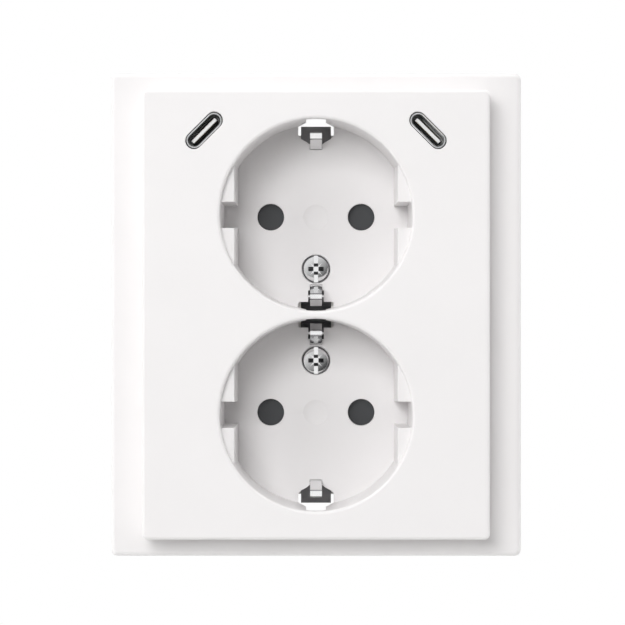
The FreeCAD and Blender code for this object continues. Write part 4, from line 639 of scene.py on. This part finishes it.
# USB ports: a drawn steel shell with rounded ends and a rolled, bright mouth, a thin black seal between
# it and the plate, and the moulded tongue inside. The tongue stands in a black carrier, and a
# row of gilded contacts lies along each of its sides.
SHELL_LENGTH, SHELL_WIDTH, SHELL_WALL, SHELL_DEPTH, SHELL_SINK = 8.94, 3.26, 0.3, 7.4, 0.3
MOUTH_ROLL, SEAL_SINK, SEAL_DEPTH = 0.06, 0.1, 0.9
TONGUE_LENGTH, TONGUE_WALL, TONGUE_SINK, TONGUE_FOOT, TONGUE_FIT = 6.69, 0.7, 0.9, 1.6, 0.05
CARRIER_LENGTH, CARRIER_WIDTH, CARRIER_SINK = 7.2, 1.5, 1.6
CONTACTS, CONTACT_PITCH, CONTACT_WIDTH, CONTACT_RISE, CONTACT_SINK = 12, 0.5, 0.28, 0.04, 0.4


def ringed_form(rings, across, up, turn):
    """A closed block through stadium rings, each an inset from the shell's outside and a level."""
    form = bmesh.new()
    loops = []
    for inset, level in rings:
        outline = stadium_outline(SHELL_LENGTH - 2 * inset, SHELL_WIDTH - 2 * inset)
        corners = [form.verts.new((x, -level, z)) for x, z in outline]
        loops.append([form.edges.new(pair) for pair in zip(corners, corners[1:] + corners[:1])])
    for near, far in zip(loops, loops[1:]):
        bmesh.ops.bridge_loops(form, edges=near + far)
    for end in (loops[0], loops[-1]):
        bmesh.ops.contextual_create(form, geom=end)
    bmesh.ops.recalc_face_normals(form, faces=form.faces)
    settle(form, across, up, turn)
    return form


port_stainless = metal_sheet("drawn_stainless_shell", "E9EAEB", "DADCDD", 0.12, 0.2, 0.2,
                             stretch=(1, 0.1, 1), depth=0.001)
tongue_polymer = moulded_plastic("port_tongue_polymer", "EFEFEE", "E6E6E5", 0.4, 0.5, grain=0.15)
seal_rubber = moulded_plastic("port_seal_rubber", "222223", "19191A", 0.6, 0.7, grain=0.15)
gilded = metal_sheet("gilded_contacts", "E3C489", "D5B273", 0.2, 0.3, 0.1)
mouth = PLATE_FRONT - SHELL_SINK
shell_back = mouth - SHELL_DEPTH
foot_back = shell_back + SHELL_WALL
foot_front = foot_back + TONGUE_FOOT
tip = mouth - TONGUE_SINK
contact_front = tip - CONTACT_SINK
foot_inset = SHELL_WALL + TONGUE_FIT
half, wall = TONGUE_LENGTH / 2, TONGUE_WALL / 2
blade = [(-half, -wall), (half, -wall), (half, wall), (-half, wall)]
for side, label in ((1, "right"), (-1, "left")):
    port = dict(across=side * PORT_ACROSS, up=PORT_UP, turn=side * PORT_TURN)
    shell = ringed_form([(0, shell_back), (0, mouth - MOUTH_ROLL), (MOUTH_ROLL / 3, mouth - MOUTH_ROLL / 3),
                         (MOUTH_ROLL, mouth), (SHELL_WALL - MOUTH_ROLL, mouth),
                         (SHELL_WALL - MOUTH_ROLL / 3, mouth - MOUTH_ROLL / 3),
                         (SHELL_WALL, mouth - MOUTH_ROLL), (SHELL_WALL, foot_back)], **port)
    place_piece("usb_shell_" + label + "_drawn", shape_mesh(shell), port_stainless, "socket",
                ["usb_shell_" + label], sharp=40)
    seal = drawn_form(stadium_outline(PORT_LENGTH, PORT_WIDTH), mouth - SEAL_SINK - SEAL_DEPTH,
                      mouth - SEAL_SINK, **port)
    cut(seal, drawn_form(stadium_outline(SHELL_LENGTH, SHELL_WIDTH), mouth - SEAL_DEPTH - CLEAR,
                         mouth + CLEAR, **port))
    place_piece("usb_seal_" + label, shape_mesh(seal), seal_rubber, "socket", [])
    tongue = ringed_form([(foot_inset, foot_back), (foot_inset, foot_front)], **port)
    fuse(tongue, drawn_form(blade, foot_front - TONGUE_FOOT / 2, tip, **port))
    place_piece("usb_tongue_" + label + "_moulded", shape_mesh(tongue), tongue_polymer, "socket",
                ["usb_tongue_" + label], ease=0.06)
    carrier = drawn_form(stadium_outline(CARRIER_LENGTH, CARRIER_WIDTH), foot_front, tip - CARRIER_SINK,
                         **port)
    cut(carrier, drawn_form(blade, foot_front - CLEAR, tip + CLEAR, **port))
    place_piece("usb_carrier_" + label, shape_mesh(carrier), seal_rubber, "socket", [],
                ease=0.05)
    contacts = bmesh.new()
    size = Matrix.Diagonal((CONTACT_WIDTH, contact_front - foot_front, CONTACT_RISE, 1))
    for at in range(CONTACTS):
        for face in (1, -1):
            place = Matrix.Translation(((at - (CONTACTS - 1) / 2) * CONTACT_PITCH,
                                        -(contact_front + foot_front) / 2, face * (wall + CONTACT_RISE / 2)))
            bmesh.ops.create_cube(contacts, size=1, matrix=place @ size)
    settle(contacts, **port)
    place_piece("usb_contacts_" + label, shape_mesh(contacts), gilded, "socket", [])

# Plate screws: domed steel heads in the well floors, with a slot across and a cross recess in it.
# Nickel plated and polished, so they mirror the bright room. Faces turned away from the front, in the
# slot, recess and the dome's edge, get a darker metal: painted shade. Four fine ticks stand between the arms.
SCREW_RISE, SCREW_SHANK, SCREW_TIP, SCREW_POINT = 0.75, 1.5, -8.0, 0.9
DOME_ANGLE, DOME_STEP, DOME_EDGE = 36, 4, 0.26
SLOT_WIDTH, SLOT_DEPTH = 0.88, 0.75
CROSS_REACH, CROSS_FLOOR, CROSS_WIDTH, CROSS_DEPTH = 1.65, 0.52, 0.9, 1.7
TICK_REACH, TICK_WIDTH, TICK_DEPTH = 1.8, 0.2, 0.3
PAINTED_SHADE_FACING = 0.92
# Painted shade: a darker, rougher metal for faces that turn away from the front.
painted_shade_metal = metal_sheet("painted_shade_plating", "98989A", "848486", 0.3, 0.42, 0.15)
screw_nickel = metal_sheet("nickel_plated_head", "F4F4F4", "E8E8E9", 0.09, 0.14, 0.12, depth=0.0003)
apex = FLOOR_FRONT + SCREW_RISE
rim_level = apex - SCREW_RISE / 2
seat = FLOOR_FRONT - SEAT_DEPTH
dome_radius, dome_drop = math.sin(math.radians(DOME_ANGLE)), math.cos(math.radians(DOME_ANGLE))
dome = [((SCREW_HEAD - DOME_EDGE) * math.sin(angle) / dome_radius,
         rim_level + (math.cos(angle) - dome_drop) * SCREW_RISE / 2 / (1 - dome_drop))
        for angle in [math.radians(step) for step in range(0, DOME_ANGLE + 1, DOME_STEP)]]
head_profile = [(0, SCREW_TIP), (SCREW_SHANK - 0.6, SCREW_TIP), (SCREW_SHANK, SCREW_TIP + SCREW_POINT),
                (SCREW_SHANK, seat), (SCREW_HEAD - 0.3, seat), (SCREW_HEAD, rim_level - 0.45),
                (SCREW_HEAD - 0.03, rim_level - 0.25), (SCREW_HEAD - 0.12, rim_level - 0.08)] + dome[::-1]
wedge = [(CROSS_FLOOR, apex - CROSS_DEPTH), (CROSS_REACH, apex - 0.1), (CROSS_REACH, apex + CLEAR)]
wedge += [(-x, level) for x, level in reversed(wedge)]
for well, side in (("upper", 1), ("lower", -1)):
    screw = side * (WELL_UP - SCREW_DROP)
    turned = turned_form(head_profile, 0, screw, SCREW_STEPS)
    cut(turned, box_form(-SLOT_WIDTH / 2, SLOT_WIDTH / 2, apex - SLOT_DEPTH, apex + CLEAR,
                         screw - SCREW_HEAD - CLEAR, screw + SCREW_HEAD + CLEAR))
    for turn in (0, 90):
        arm = standing_form(wedge, -CROSS_WIDTH / 2, CROSS_WIDTH / 2)
        settle(arm, 0, screw, turn)
        cut(turned, arm)
    for turn in (45, 135):
        cut(turned, drawn_form([(TICK_REACH, 0), (0, TICK_WIDTH), (-TICK_REACH, 0), (0, -TICK_WIDTH)],
                               apex - TICK_DEPTH, apex + CLEAR, up=screw, turn=turn))
    head = place_piece("plate_screw_" + well + "_turned", shape_mesh(turned), screw_nickel, "socket",
                       ["plate_screw_" + well], sharp=20)
    head.data.materials.append(painted_shade_metal)
    # Faces turned away from the front get the darker metal: painted shade.
    for face in head.data.polygons:
        if abs(face.normal.y) < PAINTED_SHADE_FACING:
            face.material_index = 1

# Earth strap: one strip of plated spring metal behind both wells, with four fingers bent up through
# the floors and a pair of wings beside each. Pressed from nickel-plated sheet, so its bends are soft;
# its slopes get a darker metal, which is painted shade. Profiles are a height from the well's
# middle and a level. Four small guides of the base stand beside the inner fingers.
STRAP_BACK, STRAP_FRONT, STRAP_WIDTH, STRAP_REACH = 2.6, 3.4, 5.0, 14.0
WING_WIDTH, FINGER_WIDTH, BEND, BEND_BACK, BEND_FRONT = 6.3, 2.45, 0.3, 3.5, 12.5
FINGER = [(14.2, 3.0), (14.2, 6.5), (16.1, 12.0), (17.3, 12.0), (18.75, 8.4), (18.2, 8.2), (17.0, 11.35),
          (16.5, 11.35), (14.8, 6.4), (14.8, 3.0)]
WING = [(13.6, 3.4), (15.2, 3.6), (16.2, 4.7), (16.9, 4.75), (18.7, 3.5), (18.7, 2.8), (16.9, 4.1),
        (16.3, 4.1), (15.4, 2.9), (13.6, 2.6)]
OUTER_FINGER = [(14.2, 3.0), (14.2, 6.5), (16.05, 12.0), (17.55, 12.0), (17.55, 8.4), (16.95, 8.4),
                (16.95, 11.35), (16.5, 11.35), (14.8, 6.4), (14.8, 3.0)]
OUTER_WING = [(13.6, 3.4), (14.5, 3.6), (15.1, 4.85), (19.2, 3.3), (19.2, 2.6), (15.3, 4.1), (14.7, 2.9),
              (13.6, 2.6)]
BRIDGE = [(1.9, 2.6), (1.9, 3.4), (0.3, 4.9)]
SHUTTER_POST_HOLE = 1.65
GUIDE_NEAR, GUIDE_FAR, GUIDE_REACH, GUIDE_GAP, GUIDE_ROUND = 3.2, 3.74, 17.0, 0.1, 0.2
PAINTED_SHADE_LEAST, PAINTED_SHADE_MOST = 0.5, 0.97


def side_form(outline, width):
    """A straight block across the middle, whose outline is drawn in side view as height and level."""
    return pushed_form([(-width / 2, -level, up) for up, level in outline], (width, 0, 0))


def across_bend(one, other):
    """True for an edge that crosses the strip at one of its bends."""
    return abs(one.x - other.x) > 1 and BEND_BACK < abs(one.y) < BEND_FRONT


strap = box_form(-STRAP_WIDTH / 2, STRAP_WIDTH / 2, STRAP_BACK, STRAP_FRONT, -WELL_UP - STRAP_REACH,
                 WELL_UP + STRAP_REACH)
fuse(strap, side_form(BRIDGE + [(-up, level) for up, level in reversed(BRIDGE)], WING_WIDTH))
for side in (1, -1):
    for end in (1, -1):
        outer = end == side
        for outline, width in ((OUTER_WING if outer else WING, WING_WIDTH),
                               (OUTER_FINGER if outer else FINGER, FINGER_WIDTH)):
            bent = side_form([(side * WELL_UP + end * out, level) for out, level in outline], width)
            round_edges(bent, BEND, across_bend, segments=3)
            fuse(strap, bent)
    for up, hole in ((WELL_UP, SHUTTER_POST_HOLE), (WELL_UP - SCREW_DROP, SCREW_HOLE)):
        cut(strap, turned_form([(0, STRAP_BACK - CLEAR), (hole, STRAP_BACK - CLEAR),
                                (hole, STRAP_FRONT + CLEAR), (0, STRAP_FRONT + CLEAR)],
                               0, side * up, POST_STEPS))
for side, height in ((1, "upper"), (-1, "lower")):
    for across, hand in ((1, "right"), (-1, "left")):
        near, far = sorted((across * GUIDE_NEAR, across * GUIDE_FAR))
        low, high = sorted((side * (WELL_UP - EARTH_INNER_END), side * (WELL_UP - GUIDE_REACH)))
        guide = box_form(near, far, STRAP_BACK, FLOOR_BACK - GUIDE_GAP, low, high)
        round_edges(guide, GUIDE_ROUND, runs_back, segments=3)
        place_piece("strap_guide_" + height + "_" + hand, shape_mesh(guide), base_urea, "socket",
                    [], sharp=25)
strap_nickel = metal_sheet("nickel_plated_strap", "F4F4F4", "E8E8E9", 0.08, 0.13, 0.15, stretch=(1, 1, 0.1),
                           depth=0.0003)
strap_piece = place_piece("earth_strap_pressed", shape_mesh(strap), strap_nickel, "socket",
                          ["earth_strap"], ease=0.05, sharp=25)
strap_piece.data.materials.append(painted_shade_metal)
# Faces that slope between front and side get the darker metal: painted shade.
for face in strap_piece.data.polygons:
    if PAINTED_SHADE_LEAST < abs(face.normal.y) < PAINTED_SHADE_MOST:
        face.material_index = 1

# Cover frame: the flat outer surround, hollow behind, clamped to the wall under the centre plate.
# The same white moulding as the plate, with three ribs on each side to stiffen it.
FRAME_WIDTH, FRAME_HEIGHT, FRAME_WALL, FRAME_FRONT = 85.0, 100.0, 1.6, 15.5
FRAME_CORNER, FRAME_EDGE, FRAME_GAP = 1.3, 0.95, 0.15
LEDGE, LEDGE_WALL = 2.0, 1.5
window_width, window_height = PLATE_WIDTH / 2 + FRAME_GAP, PLATE_HEIGHT / 2 + FRAME_GAP
surround = box_form(-FRAME_WIDTH / 2, FRAME_WIDTH / 2, 0, FRAME_FRONT, -FRAME_HEIGHT / 2, FRAME_HEIGHT / 2)
round_edges(surround, FRAME_CORNER, runs_back, segments=8)
round_edges(surround, FRAME_EDGE, at_level(FRAME_FRONT), segments=6)
cut(surround, box_form(-window_width, window_width, LEDGE_WALL, FRAME_FRONT + CLEAR, -window_height,
                       window_height))
cut(surround, box_form(LEDGE - window_width, window_width - LEDGE, -CLEAR, LEDGE_WALL + CLEAR,
                       LEDGE - window_height, window_height - LEDGE))
channel = box_form(FRAME_WALL - FRAME_WIDTH / 2, FRAME_WIDTH / 2 - FRAME_WALL, -CLEAR,
                   FRAME_FRONT - FRAME_WALL, FRAME_WALL - FRAME_HEIGHT / 2, FRAME_HEIGHT / 2 - FRAME_WALL)
cut(channel, box_form(-window_width - RIB, window_width + RIB, -2 * CLEAR, FRAME_FRONT,
                      -window_height - RIB, window_height + RIB))
for across in (1, -1):
    for step in (-1, 0, 1):
        near, far = sorted((across * (PLATE_WIDTH / 2 + FRAME_GAP + RIB / 2), across * FRAME_WIDTH / 2))
        height = step * FRAME_HEIGHT / 4
        cut(channel, box_form(near, far, LEDGE_WALL, FRAME_FRONT, height - RIB / 2, height + RIB / 2))
cut(surround, channel)
place_piece("cover_frame_moulding", shape_mesh(surround), white_plastic, "socket",
            ["cover_frame"], sharp=28)
